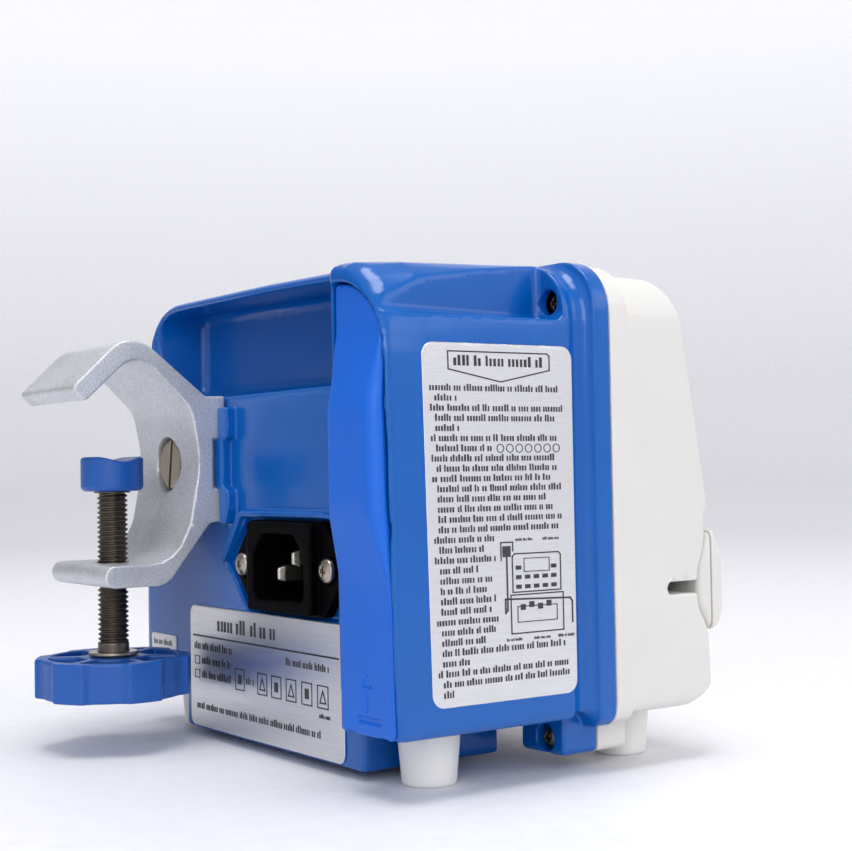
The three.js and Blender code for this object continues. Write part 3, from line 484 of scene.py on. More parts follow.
def side_face(y, z):
    """Distance of the side walls from the middle: upright at the rim, leaning in towards the rear."""
    lean = BODY["low"] - (BODY["low"] - BODY["high"]) * (z - BODY["bottom"]) / (BODY["top"] - BODY["bottom"])
    return lean + (1 - y / BODY["rear"]) * (RIM_FOOT - lean)


def lofted(s, inset):
    """The body's end view: its top corners open from a tight radius at the rim to a wide one at the rear."""
    corner, wide_corner = BODY["corner"] - inset, 23 - inset
    front = s.xz(body_outline(RIM_FOOT, RIM_FOOT, inset, corner))
    rear = s.xz(body_outline(BODY["low"], BODY["high"], inset, corner))
    wide = s.xz(body_outline(BODY["low"], BODY["high"], inset, wide_corner))
    share = s.y / BODY["rear"]
    tight = front * (1 - share) + rear * share
    column_share = np.interp(s.y, (RIM_REAR, 38, 49), (0, 0.35, 1))
    other_share = np.interp(s.y, (RIM_REAR, 40), (0, 0.6))
    share = np.where(s.x < 0, column_share, other_share).astype(np.float32)
    crown = s.z + inset - 117.8 + 0.014 * s.y * (1 + 2 * np.clip(-s.x / 50, 0, 1))
    return both(tight * (1 - share) + wide * share, crown, 1)


def rear_plan(s):
    """The shell from above: rear plane, battery column and rounded vertical corners."""
    rear = BODY["rear"]
    corners = [(-72, -30), (72, -30), (72, rear, 6), (-47, rear, 2.2), (-47.4, 51, 1.6), (-72, 51, 5)]
    lean = s.y - 48.9 - 0.017 * (s.z - 13)
    return both(s.xy(corners), lean, 1.2)


def shell_form(s):
    """Outer form of the shell, before anything is cut from it."""
    roll = np.interp(s.z, (96, 110), (0, 2)) * np.interp(s.x, (-52, -46), (1, 0))
    edge = (np.interp(s.z, (18, 60), (0.8, 2.4)) + roll).astype(np.float32)
    body = both(lofted(s, 0), rear_plan(s), edge)
    outline = s.xz(RIM)
    rim = both(outline, s.y - RIM_REAR, 0.6)
    form = both(either(body, rim, 1.5), outline, 0.3)
    foot = s.xz(body_outline(RIM_FOOT, RIM_FOOT, 0, BODY["corner"]))
    cove = np.hypot(foot - 2.2, s.y + 1.7) - 3.5
    form = without(form, both(cove, BODY["bottom"] - 3 - s.z), 0.5)
    lower = both(block(s.x, s.z, -43.5, 43.5, 2, 30, 1.2), slab(s.y, 1.5, BODY["rear"]), 1)
    tabs = both(block(abs(s.x), s.z, 50.5, 65.8, 4, 20, 1.4), s.y - 0.3, 0.9)
    return both(either(either(form, lower), tabs, 0.5), SEAM_Y - s.y, 0.3)


def clamp_seat(s):
    """Stepped rib that keys into the clamp's plate, standing on the rear face."""
    steps = [
        (14, 87, 0.5), (19, 87, 0.5), (19, 79.6), (21.2, 78.4), (21.2, 66.6), (18.4, 65.2), (18.4, 57, 0.6),
        (15.8, 57), (14.2, 60.4), (14.2, 65.4), (16.8, 66.9), (16.8, 78), (14, 79.4),
    ]
    return both(s.xz(steps), slab(s.y, 36, 43.1), 0.45)


def drip_rib(s):
    """Raised rib that keeps drips off the mains inlet."""
    path = [(19.4, 47.8), (10.6, 59.6, 3), (-31, 59.6, 5), (-38, 52.5, 4), (-40, 47)]
    return both(stroke(s.x[..., 0], s.z[0], path, 0.95)[:, None, :], slab(s.y, 36, 41.9), 0.5)


def hand_recess(s):
    """Pocket under the top wall, with a rounded end wall at the right."""
    plan = s.xy([(-46, 14, 3.5), (56.5, 26, 3), (60.5, 41.5), (61, 60), (-46, 60)])
    return both(both(plan, 90.2 - s.z, 4.5), lofted(s, 2.3), 3)


def screw_scoop(s):
    """Groove from each top rear corner down to a case screw."""
    beside = 60.6 + 0.09 * (s.y - 1.5) - abs(s.x)
    return both(both(beside, 103.6 - s.z, 2.2), 1.5 - s.y, 2.4)


def hexagon(x, half_flat, half_wide, half_high, end_r, low_r, high_r):
    """A long hexagon in (x, z) round the mains inlet, pointed at its two ends."""
    corners = [(-half_wide, 0, end_r), (-half_flat, -half_high, low_r), (half_flat, -half_high, low_r),
               (half_wide, 0, end_r), (half_flat, half_high, high_r), (-half_flat, half_high, high_r)]
    return [(x + a, INLET_Z + b, r) for a, b, r in corners]


def inlet_pocket(s):
    x = middle("inlet_socket")[0]
    return both(s.xz(hexagon(x, 21, 31.5, 11.9, 0, 1, 1.5)), 38.1 - s.y)


def rear_shell():
    s = Space((-76, -11, 1), (76, 52, 120), 0.5)
    (bay_low, bay_high), inner_rear = place("battery_pack"), BODY["rear"] - WALL
    bay = block(s.x, s.z, bay_low[0] - 0.5, bay_high[0] + 0.5, bay_low[2] - 0.5, bay_high[2] + 2.3)
    bay = both(bay, bay_low[1] - 1 - s.y)
    seat = both(s.xz(cover_outline(GAP + 0.1)), COVER_SEAT_Y - s.y)
    scoops, recess, pocket = screw_scoop(s), hand_recess(s), inlet_pocket(s)
    form = either(either(shell_form(s), clamp_seat(s), 0.4), drip_rib(s), 0.7)
    cavity = both(lofted(s, WALL), s.y - inner_rear)
    cavity = either(cavity, both(block(s.x, s.z, -41, 41, 4.4, 20), slab(s.y, 4, inner_rear)))
    cavity = carved(cavity, [(cut - WALL, 0) for cut in (bay, recess, scoops, pocket)])
    screw_x, _, screw_z = middle("clamp_mount_screw")
    cavity = without(cavity, hole(s, screw_x, screw_z, 12, 30, 60))
    form = carved(form, [(recess, 1.3), (scoops, 0.6), (pocket, 0.4), (seat, 0.3), (bay, 0)])
    inlet_hole = block(s.x, s.z, -26.2, 2.2, INLET_Z - 10.3, INLET_Z + 10.3)
    holes = [both(inlet_hole, slab(s.y, 20, 60)), hole(s, screw_x, screw_z, 4.5, 20, 60)]
    for node, head in (("case_screw_top_right", 2.9), ("case_screw_bottom_right", 3.1)):
        x, _, z = middle(node)
        axis = np.hypot(abs(s.x) - x, s.z - z)
        holes += [both(axis - head, slab(s.y, -3, 9)), both(axis - 1.9, slab(s.y, -30, 0))]
    form = carved(form, [(cut, 0.25) for cut in holes])
    surface("rear_shell", s, without(form, cavity), BLUE_GLOSS)


def battery_cover():
    """Satin cover with a grip bulge, and an arrow sunk near its foot to show which way it opens."""
    s = Space((-71, 46, 12), (-47, 54, 113), 0.3)
    inner, flat, bulge, sunk = 47, 49.2, 52.9, 48.75
    side = [(inner, 0), (flat, 0), (flat, 46, 18), (bulge, 61, 22), (bulge, 84, 22), (flat, 99.5, 16),
            (flat, 130), (inner, 130)]
    soft = np.interp(s.z, (46, 62, 88, 98), (0.7, 3.2, 3.2, 0.7)).astype(np.float32)
    form = both(both(s.xz(cover_outline(0)), s.yz(side), soft), inner - s.y)
    hollow = both(block(s.x, s.z, -66, -50.6, 60, 92, 2), slab(s.y, 40, flat + 0.4))
    arrow = either(block(s.x, s.z, -59.1, -58.3, 18.5, 25), s.xz([(-60.7, 23.8), (-56.7, 23.8), (-58.7, 27)]))
    arrow = either(arrow, block(s.x, s.z, -64, -54.8, 16.2, 17.5, 0.5))
    form = carved(form, [(hollow, 0), (both(arrow, sunk - s.y), 0.15)])
    for x in (-64.5, -52.5):
        form = without(form, both(slab(s.x, x - 1.5, x + 1.5), both(s.z - 14, 48.2 - s.y)))
    surface("battery_cover", s, form, BLUE_MATT)


# ---- Front housing and door ----


def front_skin(s, inset):
    """Outer skin of the front housing, drawn in by an inset, without its seam face."""
    wide, bottom, top = FRONT_WIDTH - inset, 12.6 + inset, 116 - inset
    shoulder, corner = wide - 0.6, 13 - inset
    ends = [(-wide, bottom, 4), (wide, bottom, 4), (shoulder, top, corner), (-shoulder, top, corner)]
    face = [(-30, 150), (-44.9, 59.5, 1.2), (-43.4, 57.8, 1.2), (-43, 17), (-38, 12 + inset), (-38, -20)]
    face = [(20, -20), (20, 150)] + [(y + inset, *rest) for y, *rest in face]
    edge = np.interp(s.z, (14, 60), (4, 7)).astype(np.float32)
    return both(s.xz(ends), s.yz(face), edge)


def panel_axes(s):
    """Coordinates across the leaning display face: how far behind it, and how far up it."""
    y, z = s.y - PANEL_Y, s.z - PANEL_Z
    return y * math.cos(TILT) + z * math.sin(TILT), z * math.cos(TILT) - y * math.sin(TILT)


def key_field(across, up, grow):
    """All eight key outlines in the display face's plane."""
    wide, high = 9 + grow, 3.5 + grow
    near = 1e9
    for x, z in KEY_PLACES.values():
        near = np.minimum(near, block(across - x, up - z, -wide, wide, -high, high, high - 0.05))
    return near


def front_housing():
    s = Space((-76, -47, 3), (76, -9.5, 119), 0.5)
    band = [(-72.6, 10.9, 4), (72.6, 10.9, 4), (72.6, 117.6, 12), (-72.6, 117.6, 12)]
    form = either(front_skin(s, 0), both(s.xz(band), -15.6 - s.y, 0.5), 0.4)
    tabs = both(block(abs(s.x), s.z, 50.5, 65.8, 4, 20, 1.4), -19.4 - s.y, 1.0)
    form = both(either(form, tabs, 0.5), s.y - (SEAM_Y - GAP), 0.3)
    door_edge = DOOR_HALF + 0.5
    recess = both(block(s.x, s.z, -door_edge, door_edge, 15.5, 57.6, 1), s.y + 27)
    slot = block(s.y, s.z, -90, -27, TUBE_Z - 1, TUBE_Z + 2, 1.4)
    ear = [(-60, 58.5), (-43.1, 57.2, 3), (-37.2, 45, 8), (-37, 36.5, 9), (-42.2, 28.5, 4), (-60, 22)]
    ear_seat = s.yz(ear)
    behind, up = panel_axes(s)
    pocket = both(block(s.x, up, -66.3, 66.3, -21.3, 21.3, 4), behind - 1.3)
    display = both(block(s.x, up, -35.6, 35.6, -16.6, 17.6), behind - 8)
    key_holes = both(key_field(s.x, up, GAP), behind - 8)
    lamp_hole = both(block(s.x, s.y, -15, 15, -23, -14.5), 108 - s.z)
    lamp_seat = both(block(s.x, s.y, -18.3, 18.3, -24.3, -12.3, 1.4), 115.4 - s.z)
    mechanism = both(block(s.x, s.z, -22, 28.4, 26, 55), slab(s.y, -30, -20))
    cavity = carved(front_skin(s, WALL), [(cut - WALL, 0) for cut in (recess, slot, ear_seat, pocket)])
    pin_low, pin_high = place("door_hinge_pin")
    pin = both(np.hypot(s.y - HINGE_Y, s.z - HINGE_Z) - 1.8, slab(s.x, pin_low[0] - 1, pin_high[0] + 1))
    cuts = [(recess, 0.4), (slot, 0.35), (ear_seat, 0.8), (pocket, 0.4), (display, 0), (key_holes, 0),
            (lamp_hole, 0), (lamp_seat, 0.3), (mechanism, 0), (cavity, 0), (pin, 0)]
    surface("front_housing", s, carved(form, cuts), WHITE)


def door():
    """Door with a full-width bulge over the tube, an ear at each end and a pocket for the latch button."""
    s = Space((-73, -49, 15), (73, -36, 58), 0.4)
    bulge = [(-44.2, 54.5, 4), (BULGE_Y, 48, 8), (BULGE_Y, 34, 8)]
    side = [(-39, 57, 0.5), (-43.4, 57, 1.4), *bulge, (-43.8, 27.5, 4), (-43.2, 19.2), (-43.2, 16.2, 2.9),
            (-37.2, 16.2, 2.9), (-37.2, 22, 0.5), (-39, 23.5)]
    ear = [(-42.9, 55.6, 2), *bulge, (-44.6, 29.8, 3), (-42.8, 30.2, 2), (-38.4, 36.9, 7), (-38.6, 45.2, 7)]
    form = either(both(s.yz(side), abs(s.x) - DOOR_HALF, 1.6), both(s.yz(ear), abs(s.x) - 71.6, 1.6))
    crease = both(slab(s.y, -43.3, -42.7), DOOR_HALF - 0.4 - abs(s.x))
    window = both(block(s.x, s.z, -19.4, 19.4, 30.4, 48.8), -44.6 - s.y)
    button = block(s.x, s.z, -10.4, 10.4, 49.6, 55.6, 2.4)
    pin = np.hypot(s.y - HINGE_Y, s.z - HINGE_Z) - 1.8
    panel = both(block(s.x, s.z, -52, 52, 30.5, 48, 5), abs(s.y - BULGE_Y) - 0.35)
    form = carved(form, [(crease, 0.2), (window, 0), (button, 0.5), (pin, 0), (panel, 0.3)])
    surface("door", s, form, WHITE)


def door_latch():
    """Oval button, dished for a fingertip."""
    s = Space((-11, -47, 49), (11, -40, 56), 0.2)
    form = both(block(s.x, s.z, -10, 10, 50, 55.2, 2.5), slab(s.y, -45.9, -40.5), 0.5)
    dish = np.sqrt((s.x / 3) ** 2 + (s.y + 53.2) ** 2 + (s.z - 52.6) ** 2) - 7.9
    form = without(form, dish, 0.3)
    surface("door_latch", s, form, BLUE_MATT)


# ---- Display, keys and indicator ----

PANEL_FRAME = Matrix.Translation((0, PANEL_Y, PANEL_Z)) @ Matrix.Rotation(TILT, 4, "X")


def front_panel():
    """Printed overlay: a thin film with an opening for the display and one for each key."""
    s = Space((-67, -1, -22), (67, 2, 22), 0.3)
    form = both(block(s.x, s.z, -66, 66, -21, 21, 4), slab(s.y, 0, 1), 0.3)
    form = without(form, block(s.x, s.z, -33, 33, -14, 15, 1), 0.2)
    form = without(form, key_field(s.x, s.z, GAP), 0.2)
    surface("front_panel", s, form, OVERLAY, at=PANEL_FRAME)
    lens = Space((-34, -1, -15), (34, 2.2, 16), 0.3)
    form = both(block(lens.x, lens.z, -32.7, 32.7, -13.7, 14.7, 0.8), slab(lens.y, 0, 1.2), 0.25)
    surface("display_lens", lens, form, GLASS, at=PANEL_FRAME)


def keys():
    """Silicone keys with crowned caps and a retaining flange behind the housing."""
    for key, (x, z) in KEY_PLACES.items():
        s = Space((x - 11, -2, z - 5.5), (x + 11, 5, z + 5.5), 0.25)
        cap = block(s.x, s.z, x - 9, x + 9, z - 3.5, z + 3.5, 3.45)
        crown = s.y + 1.2 - ((s.x - x) / 26) ** 2 - ((s.z - z) / 9) ** 2
        form = both(both(cap, -crown, 0.5), s.y - 3.6)
        flange = both(block(s.x, s.z, x - 10, x + 10, z - 4.5, z + 4.5, 4.4), slab(s.y, 3.3, 4.2), 0.2)
        surface("key_" + key, s, either(form, flange), SILICONE, at=PANEL_FRAME)


def indicator_lens():
    s = Space((-19, -25, 112), (19, -12, 120.5), 0.25)
    cap = both(block(s.x, s.y, -18, 18, -24, -12.6, 1.8), slab(s.z, 115.7, 119.6), 1.2)
    ribs = both(slab((s.x + 60) % 3 - 1.5, -0.2, 0.2), 119.3 - s.z)
    stem = both(block(s.x, s.y, -14.6, 14.6, -22.6, -14.9, 1), slab(s.z, 112.6, 118))
    form = either(without(cap, ribs, 0.15), stem)
    surface("indicator_lens", s, form, LENS)


# ---- Feet and screws ----


def feet():
    """Tapered silicone feet with a soft lower edge and a shallow cup underneath."""
    for node in ("foot_rear_left", "foot_rear_right", "foot_front_left", "foot_front_right"):
        x, y, _ = middle(node)
        s = Space((x - 8, y - 8, -1), (x + 8, y + 8, 13.5), 0.25)
        edge = [(-4, 0.6), (3, 0.6), (3.6, 0), (6.15, 0, 0.7), (7.25, 12.6, 0.3), (-4, 12.6)]
        form = turned(s, edge, x, y)
        surface(node, s, form, SILICONE)


def cross_head(node, finish, radius, height, shank, deep, step):
    """A pan-headed screw along Y with a cross recess."""
    top, (x, _, z) = place(node)[1][1], middle(node)
    seat, reach = top - height, radius + 0.4
    s = Space((x - reach, top - 5, z - reach), (x + reach, top + 0.5, z + reach), step)
    neck, brim = radius * 0.52, top - height * 0.42
    dome = [(-3, seat - shank), (neck, seat - shank), (neck, seat - 0.01), (radius, seat, 0.15),
            (radius * 0.96, brim, 0.7), (radius * 0.5, top, 1.2), (-3, top)]
    arm = radius * 0.34 + 0.28 * (s.y - top + deep) / deep
    across = both(slab(s.x - x, -0.42, 0.42), abs(s.z - z) - arm)
    along = both(slab(s.z - z, -0.42, 0.42), abs(s.x - x) - arm)
    recess = both(either(across, along, 0.2), top - deep - s.y)
    form = without(turned(s, dome, x, z, "y"), recess, 0.12)
    surface(node, s, form, finish)


def cross_screws():
    for end in ("top_left", "top_right", "bottom_left", "bottom_right"):
        cross_head("case_screw_" + end, DARK_STEEL, 2.8, 2.2, 2, 1.3, 0.14)
    for side in ("left", "right"):
        cross_head("inlet_screw_" + side, STEEL, 2.9, 1.8, 2.4, 1.2, 0.12)


# ---- Mains inlet ----


def inlet():
    """C14 socket: a flange with two screw seats, a raised hood and a chamfered mouth with three pins."""
    x, z, rear = middle("inlet_socket")[0], INLET_Z, BODY["rear"]
    s = Space((x - 28, rear - 16, z - 12.5), (x + 28, rear + 4.5, z + 12.5), 0.25)
    across, up = s.x - x, s.z - z
    flange = both(s.xz(hexagon(x, 17, 26.5, 11.2, 3, 1.5, 1.5)), slab(s.y, rear - 1.7, rear + 1.2), 0.4)
    hood = both(block(across, up, -15.2, 15.2, -10.9, 10.9, 1), slab(s.y, rear - 1, rear + 3.6), 0.5)
    body = both(block(across, up, -13.8, 13.8, -9.9, 9.9), slab(s.y, rear - 15, rear))
    mouth = [(-11.9, -8.1, 2.6), (11.9, -8.1, 2.6), (11.9, 3.2, 0.6), (7.2, 8.1, 0.6), (-7.2, 8.1, 0.6),
             (-11.9, 3.2, 0.6)]
    mouth = both(s.xz([(x + a, z + b, r) for a, b, r in mouth]), rear - 13 - s.y)
    form = without(either(either(flange, hood, 0.4), body), mouth, 0.5)
    for side in (x - 20, x + 20):
        form = carved(form, [(hole(s, side, z, 1.6), 0.2), (hole(s, side, z, 3.3, rear + 0.9), 0.1)])
    surface("inlet_socket", s, form, BLACK)
    for node in ("inlet_pin_earth", "inlet_pin_line", "inlet_pin_neutral"):
        low, high = place(node)
        s = Space(low - 0.5, high + 0.5, 0.16)
        tip = np.maximum(0, s.y - high[1] + 1.6) * 0.35
        blade = both(slab(s.x, low[0], high[0]) + tip, slab(s.z, low[2], high[2]) + tip, 0.3)
        form = both(blade, slab(s.y, low[1], high[1]), 0.3)
        surface(node, s, form, NICKEL)


# ---- Pole clamp ----

BRACKET = [
    (40.4, 57.4, 0.5), (44.8, 57.4, 3), (57.2, 41.8, 6), (74, 41.8, 2.75), (74, 47.4, 2.75), (55.5, 47.4, 10),
    (50.6, 57.5, 12), (47.7, 73.2, 25), (50.2, 86.8, 10), (65, 100.9, 6), (78.9, 88, 1.2), (82.4, 91.4, 1.2),
    (66.7, 106.5, 8.5), (45.9, 89.9, 2), (40.4, 90.1, 0.5),
]


def clamp_bracket():
    """Sawn from an extruded section: rounded along its edges, with a notch for the shell's stepped rib."""
    (low, high), (screw_x, _, screw_z) = place("clamp_bracket"), middle("clamp_mount_screw")
    s = Space(low - 1, high + 1, 0.35)
    form = both(s.yz(BRACKET), slab(s.x, low[0], high[0]), 0.45)
    notch = s.xz([(10, 79.2), (19.4, 79.2), (21.6, 78), (21.6, 67), (19.4, 65.8), (10, 65.8)])
    spindle_x, spindle_y, _ = middle("clamp_spindle")
    tapped = both(np.hypot(s.x - spindle_x, s.y - spindle_y) - 4.15, slab(s.z, 30, 60))
    head_hole, shank_hole = hole(s, screw_x, screw_z, 7.3, 44.6), hole(s, screw_x, screw_z, 4.5)
    form = carved(form, [(both(notch, s.y - 44), 0.2), (head_hole, 0.35), (shank_hole, 0), (tapped, 0.35)])
    surface("clamp_bracket", s, form, ANODISED)


def mount_screw():
    """Slotted head sunk in the bracket, its face faintly turned."""
    node = "clamp_mount_screw"
    top, (x, _, z) = place(node)[1][1], middle(node)
    s = Space((x - 7.2, top - 6, z - 7.2), (x + 7.2, top + 0.5, z + 7.2), 0.18)
    head = [(-3, top - 3.1), (6.8, top - 3.1), (6.8, top - 0.6, 0.2), (6.1, top, 0.4), (-3, top)]
    form = either(turned(s, head, x, z, "y"), hole(s, x, z, 4, top - 5.5, top - 3))
    lean = math.radians(8)
    across = (s.x - x) * math.cos(lean) + (s.z - z) * math.sin(lean)
    slot = both(slab(across, -0.75, 0.75), top - 1.5 - s.y)
    surface(node, s, without(form, slot, 0.15), STEEL)


def spindle():
    """M8 spindle with a cut thread; a plain collar carries it in the knob."""
    (low, high), (x, y, _) = place("clamp_spindle"), middle("clamp_spindle")
    pitch, crest, depth = 1.25, 3.95, 0.72
    s = Space((x - 4.4, y - 4.4, low[2] + 6), (x + 4.4, y + 4.4, high[2] + 0.3), 0.16)
    radius = np.hypot(s.x - x, s.y - y)
    turn = np.arctan2(s.y - y, s.x - x) / (2 * math.pi)
    phase = (s.z / pitch - turn) % 1
    groove = np.clip(1.15 - np.abs(phase - 0.5) * 2.6, 0, 1) * depth
    threaded = (radius - crest + groove) * 0.75
    chamfer = radius - crest + np.maximum(0, s.z - 64.6)
    threaded = both(both(threaded, chamfer), slab(s.z, 27.1, 65.3))
    collar = both(radius - 3.98, slab(s.z, 22, 27), 0.5)
    waist = both(radius - 3.2, slab(s.z, 26, 28))
    neck = both(radius - 2.4, slab(s.z, 64, high[2]))
    form = either(either(either(threaded, collar), waist), neck)
    surface("clamp_spindle", s, form, DARK_STEEL)


def clamp_knob():
    """Knob with six stepped lobes, a rim and wedge pockets between its spokes."""
    (low, high), (x, y, _) = place("clamp_knob"), middle("clamp_knob")
    s = Space(low - 1, high + 1, 0.28)
    radius = np.hypot(s.x - x, s.y - y)
    angle = np.arctan2(s.y - y, s.x - x)
    sixth = math.pi / 3
    from_lobe = (angle + sixth / 2) % sixth - sixth / 2
    reach, side = radius * np.cos(from_lobe), radius * np.sin(from_lobe)
    lobe = both(reach - 19.9, abs(side) * 0.94 + reach * 0.34 - 11, 0.8)
    outline = both(either(lobe, radius - 18.3, 1.2), radius - 20, 0.8)
    dish = np.interp(radius, (0, 10, 20), (0.2, 0, 0)).astype(np.float32)
    form = both(outline, slab(s.z, low[2], high[2]) + dish, 0.7)
    from_wedge = angle % sixth - sixth / 2
    reach, side = radius * np.cos(from_wedge), radius * np.sin(from_wedge)
    wedge = both(8.2 - reach, radius - 16.4, 0.8)
    wedge = both(wedge, abs(side) * math.cos(sixth / 2) - reach * math.sin(sixth / 2) + 1.3, 0.8)
    top_pocket = both(wedge, high[2] - 6.5 - s.z, 0.8)
    under_pocket = both(wedge, s.z - low[2] - 1.2, 0.5)
    bore = both(radius - 3.6, low[2] + 1 - s.z)
    form = carved(form, [(top_pocket, 0.35), (under_pocket, 0.3), (bore, 0.2)])
    surface("clamp_knob", s, form, BLUE_KNOB)


def clamp_washers():
    x, y, _ = middle("clamp_spindle")
    for name, body, finish, bottom, thick, inner, outer, lower_r, upper_r in (
        ("clamp_washer", "clamp_screw", STEEL, place("clamp_washer")[0][2], 0.9, 4.2, 6.35, 0.2, 0.35),
        ("pad_washer", "clamp_pad", DARK_STEEL, 65.36, 0.4, 2.6, 4.65, 0.1, 0.1),
    ):
        top, reach = bottom + thick, outer + 0.6
        s = Space((x - reach, y - reach, bottom - 0.6), (x + reach, y + reach, top + 0.6), 0.16)
        ring = [(inner, bottom), (outer, bottom, lower_r), (outer, top, upper_r), (inner, top)]
        surface(name, s, turned(s, ring, x, y), finish, body)


def clamp_pad():
    """Pressure pad with a saddle for the pole."""
    (low, high), (x, y, _) = place("clamp_pad"), middle("clamp_pad")
    s = Space(low - 0.6, high + 0.6, 0.2)
    form = turned(s, [(-9, low[2]), (8, low[2], 1.4), (8, high[2], 0.9), (-9, high[2])], x, y)
    saddle = np.hypot(s.y - y, s.z - (high[2] + 7.9)) - 9.1
    socket = both(np.hypot(s.x - x, s.y - y) - 2.8, s.z - 70.6)
    form = carved(form, [(saddle, 0.8), (socket, 0)])
    surface("clamp_pad", s, form, BLUE_KNOB)


# ---- Labels and printed marks ----


class Print:
    """Printed marks on one face: thin raised bars in (u, v) millimetres, u to the reader's right, v up."""

    def __init__(self, origin, u, v, seed, bend=None):
        self.mesh, self.bend = bmesh.new(), bend
        self.origin, self.u, self.v = Vector(origin), Vector(u), Vector(v)
        self.out = self.u.cross(self.v)
        self.random = random.Random(seed)

    def at(self, u, v, lift):
        point = self.origin + self.u * u + self.v * v + self.out * lift
        if self.bend:
            point = self.bend(point)
        return (point + Vector((0, PUMP_Y, 0))) * MM

    def shape(self, outline, lift=0.07):
        """A raised patch with a closed outline, anticlockwise to the reader."""
        low = [self.mesh.verts.new(self.at(u, v, -0.02)) for u, v in outline]
        high = [self.mesh.verts.new(self.at(u, v, lift)) for u, v in outline]
        self.mesh.faces.new(high)
        self.mesh.faces.new(low[::-1])
        for i in range(len(outline)):
            j = (i + 1) % len(outline)
            self.mesh.faces.new((low[i], low[j], high[j], high[i]))

    def bar(self, u, v, width, height):
        self.shape([(u, v), (u + width, v), (u + width, v + height), (u, v + height)])

    def line(self, points, width, closed=False):
        """A drawn line as one bar for each stretch, overlapping at the corners."""
        ends = points[1:] + points[:1] if closed else points[1:]
        for (u0, v0), (u1, v1) in zip(points, ends):
            along = Vector((u1 - u0, v1 - v0)).normalized() * width / 2
            side = Vector((-along.y, along.x))
            start, end = Vector((u0, v0)) - along, Vector((u1, v1)) + along
            self.shape([start - side, end - side, end + side, start + side])

    def frame(self, u, v, width, height, line):
        self.line([(u, v), (u + width, v), (u + width, v + height), (u, v + height)], line, closed=True)

    def ring(self, u, v, radius, line):
        turns = [2 * math.pi * i / 12 for i in range(12)]
        self.line([(u + radius * math.cos(t), v + radius * math.sin(t)) for t in turns], line, closed=True)

    def words(self, u, v, length, height):
        """A row of plain blocks in groups, standing in for a line of small print."""
        end = u + length
        while u < end - height * 0.4:
            for _ in range(self.random.randint(2, 8)):
                width = height * self.random.uniform(0.3, 0.42)
                if u + width > end:
                    break
                tall = height * (1.35 if self.random.random() < 0.25 else 1)
                self.bar(u, v, width, tall)
                u += width + height * self.random.uniform(0.22, 0.34)
            u += height * 0.5

    def done(self, name, finish, slot, body="pump_case"):
        data = bpy.data.meshes.new(name)
        self.mesh.to_mesh(data)
        self.mesh.free()
        mounted(name, data, finish, body)


def plate(node, finish, corner):
    """A stuck-on plate on a face that looks rearwards, with rounded corners and a rolled edge."""
    low, high = place(node)
    s = Space(low - 0.5, high + (0.5, 0.3, 0.5), 0.15 if high[0] - low[0] < 20 else 0.2)
    face = block(s.x, s.z, low[0], high[0], low[2], high[2], corner)
    surface(node, s, both(face, slab(s.y, low[1] - 0.1, high[1]), 0.12), finish)
    return high


def side_label():
    """Brushed instruction plate following the side wall: a title box, rows of marks and a line drawing."""
    y0, y1, z0, z1 = 0.4, 40.2, 19.4, 97.4
    s = Space((-72, y0 - 0.5, z0 - 0.5), (-67, y1 + 0.5, z1 + 0.5), 0.2)
    proud = -s.x - side_face(s.y, s.z)
    form = both(block(s.y, s.z, y0, y1, z0, z1, 3), slab(proud, -0.4, 0.1), 0.12)
    surface("side_label", s, form, SILVER)

    def bend(point):
        return point - Vector((side_face(point.y, point.z) + 0.1, 0, 0))

    marks = Print((0, y1, z1), (0, -1, 0), (0, 0, 1), 7, bend)
    title_box = [(6.6, -1.9), (32.8, -1.9), (33.4, -2.4), (33.4, -5.6), (20.2, -8.4), (6.6, -5.8)]
    marks.line(title_box, 0.3, closed=True)
    marks.words(8, -5, 24, 1.7)
    row, pitch = -9.9, 2.18
    rows = [(36, 9), (37, 35, 9), (35, 17.5), (35, 36), (33.5, 36.5, 32, 34, 36.5, 35),
            (17.5, 15.5), (18, 13, 16.5, 15, 18, 16.5), (18, 17.5, 14.5, 37, 10), (37.5, 37.5, 5.5)]
    for widths in rows:
        for index, width in enumerate(widths):
            indent = 1.7 if index == 0 else 2.9
            marks.words(indent, row - 0.6, width - indent, 1.12)
            if widths == (35, 17.5) and index == 1:  # the short line here is followed by small rings
                for step in range(7):
                    marks.ring(19.6 + step * 2.55, row, 0.92, 0.18)
            row -= pitch
    drawn_case = [(22.6, -46.2), (34.8, -46.2), (35.4, -46.8), (35.4, -54.6), (22, -54.6), (22, -46.8)]
    marks.line(drawn_case, 0.3, closed=True)
    marks.frame(25.2, -50.2, 7, 2.9, 0.2)
    for column in range(5):
        for line in range(3):
            if line or column in (0, 4):
                marks.bar(22.9 + column * 2.45, -53.9 + (2 - line) * 2.1, 1.5, 0.9)
    marks.line([(21.4, -55.2), (36, -55.2), (36, -63.6), (21.4, -63.6)], 0.3, closed=True)
    marks.frame(23.2, -61.2, 11, 3.4, 0.22)
    for column in range(4):
        marks.bar(24 + column * 2.4, -58.6 + (column % 2) * 0.5, 1.4, 1.3)
    marks.line([(19, -47.5), (19, -43.6), (22.2, -43.6), (22.2, -45.5)], 0.3)
    marks.shape([(19.4, -46.8), (21.6, -46.8), (21.6, -44.4), (19.4, -44.4)])
    marks.line([(20.5, -47), (20.5, -58.4), (19.9, -59)], 0.4)
    marks.line([(19.9, -59), (19.9, -56), (38, -56.6), (38.6, -57.4), (38.6, -62)], 0.4)
    for u, v in ((23, -43.4), (30.5, -43.4), (20, -65.2), (27.6, -65.2), (34.4, -65.2)):
        marks.words(u, v, 4.6, 0.5)
    marks.done("side_marks", INK, "label_silver")


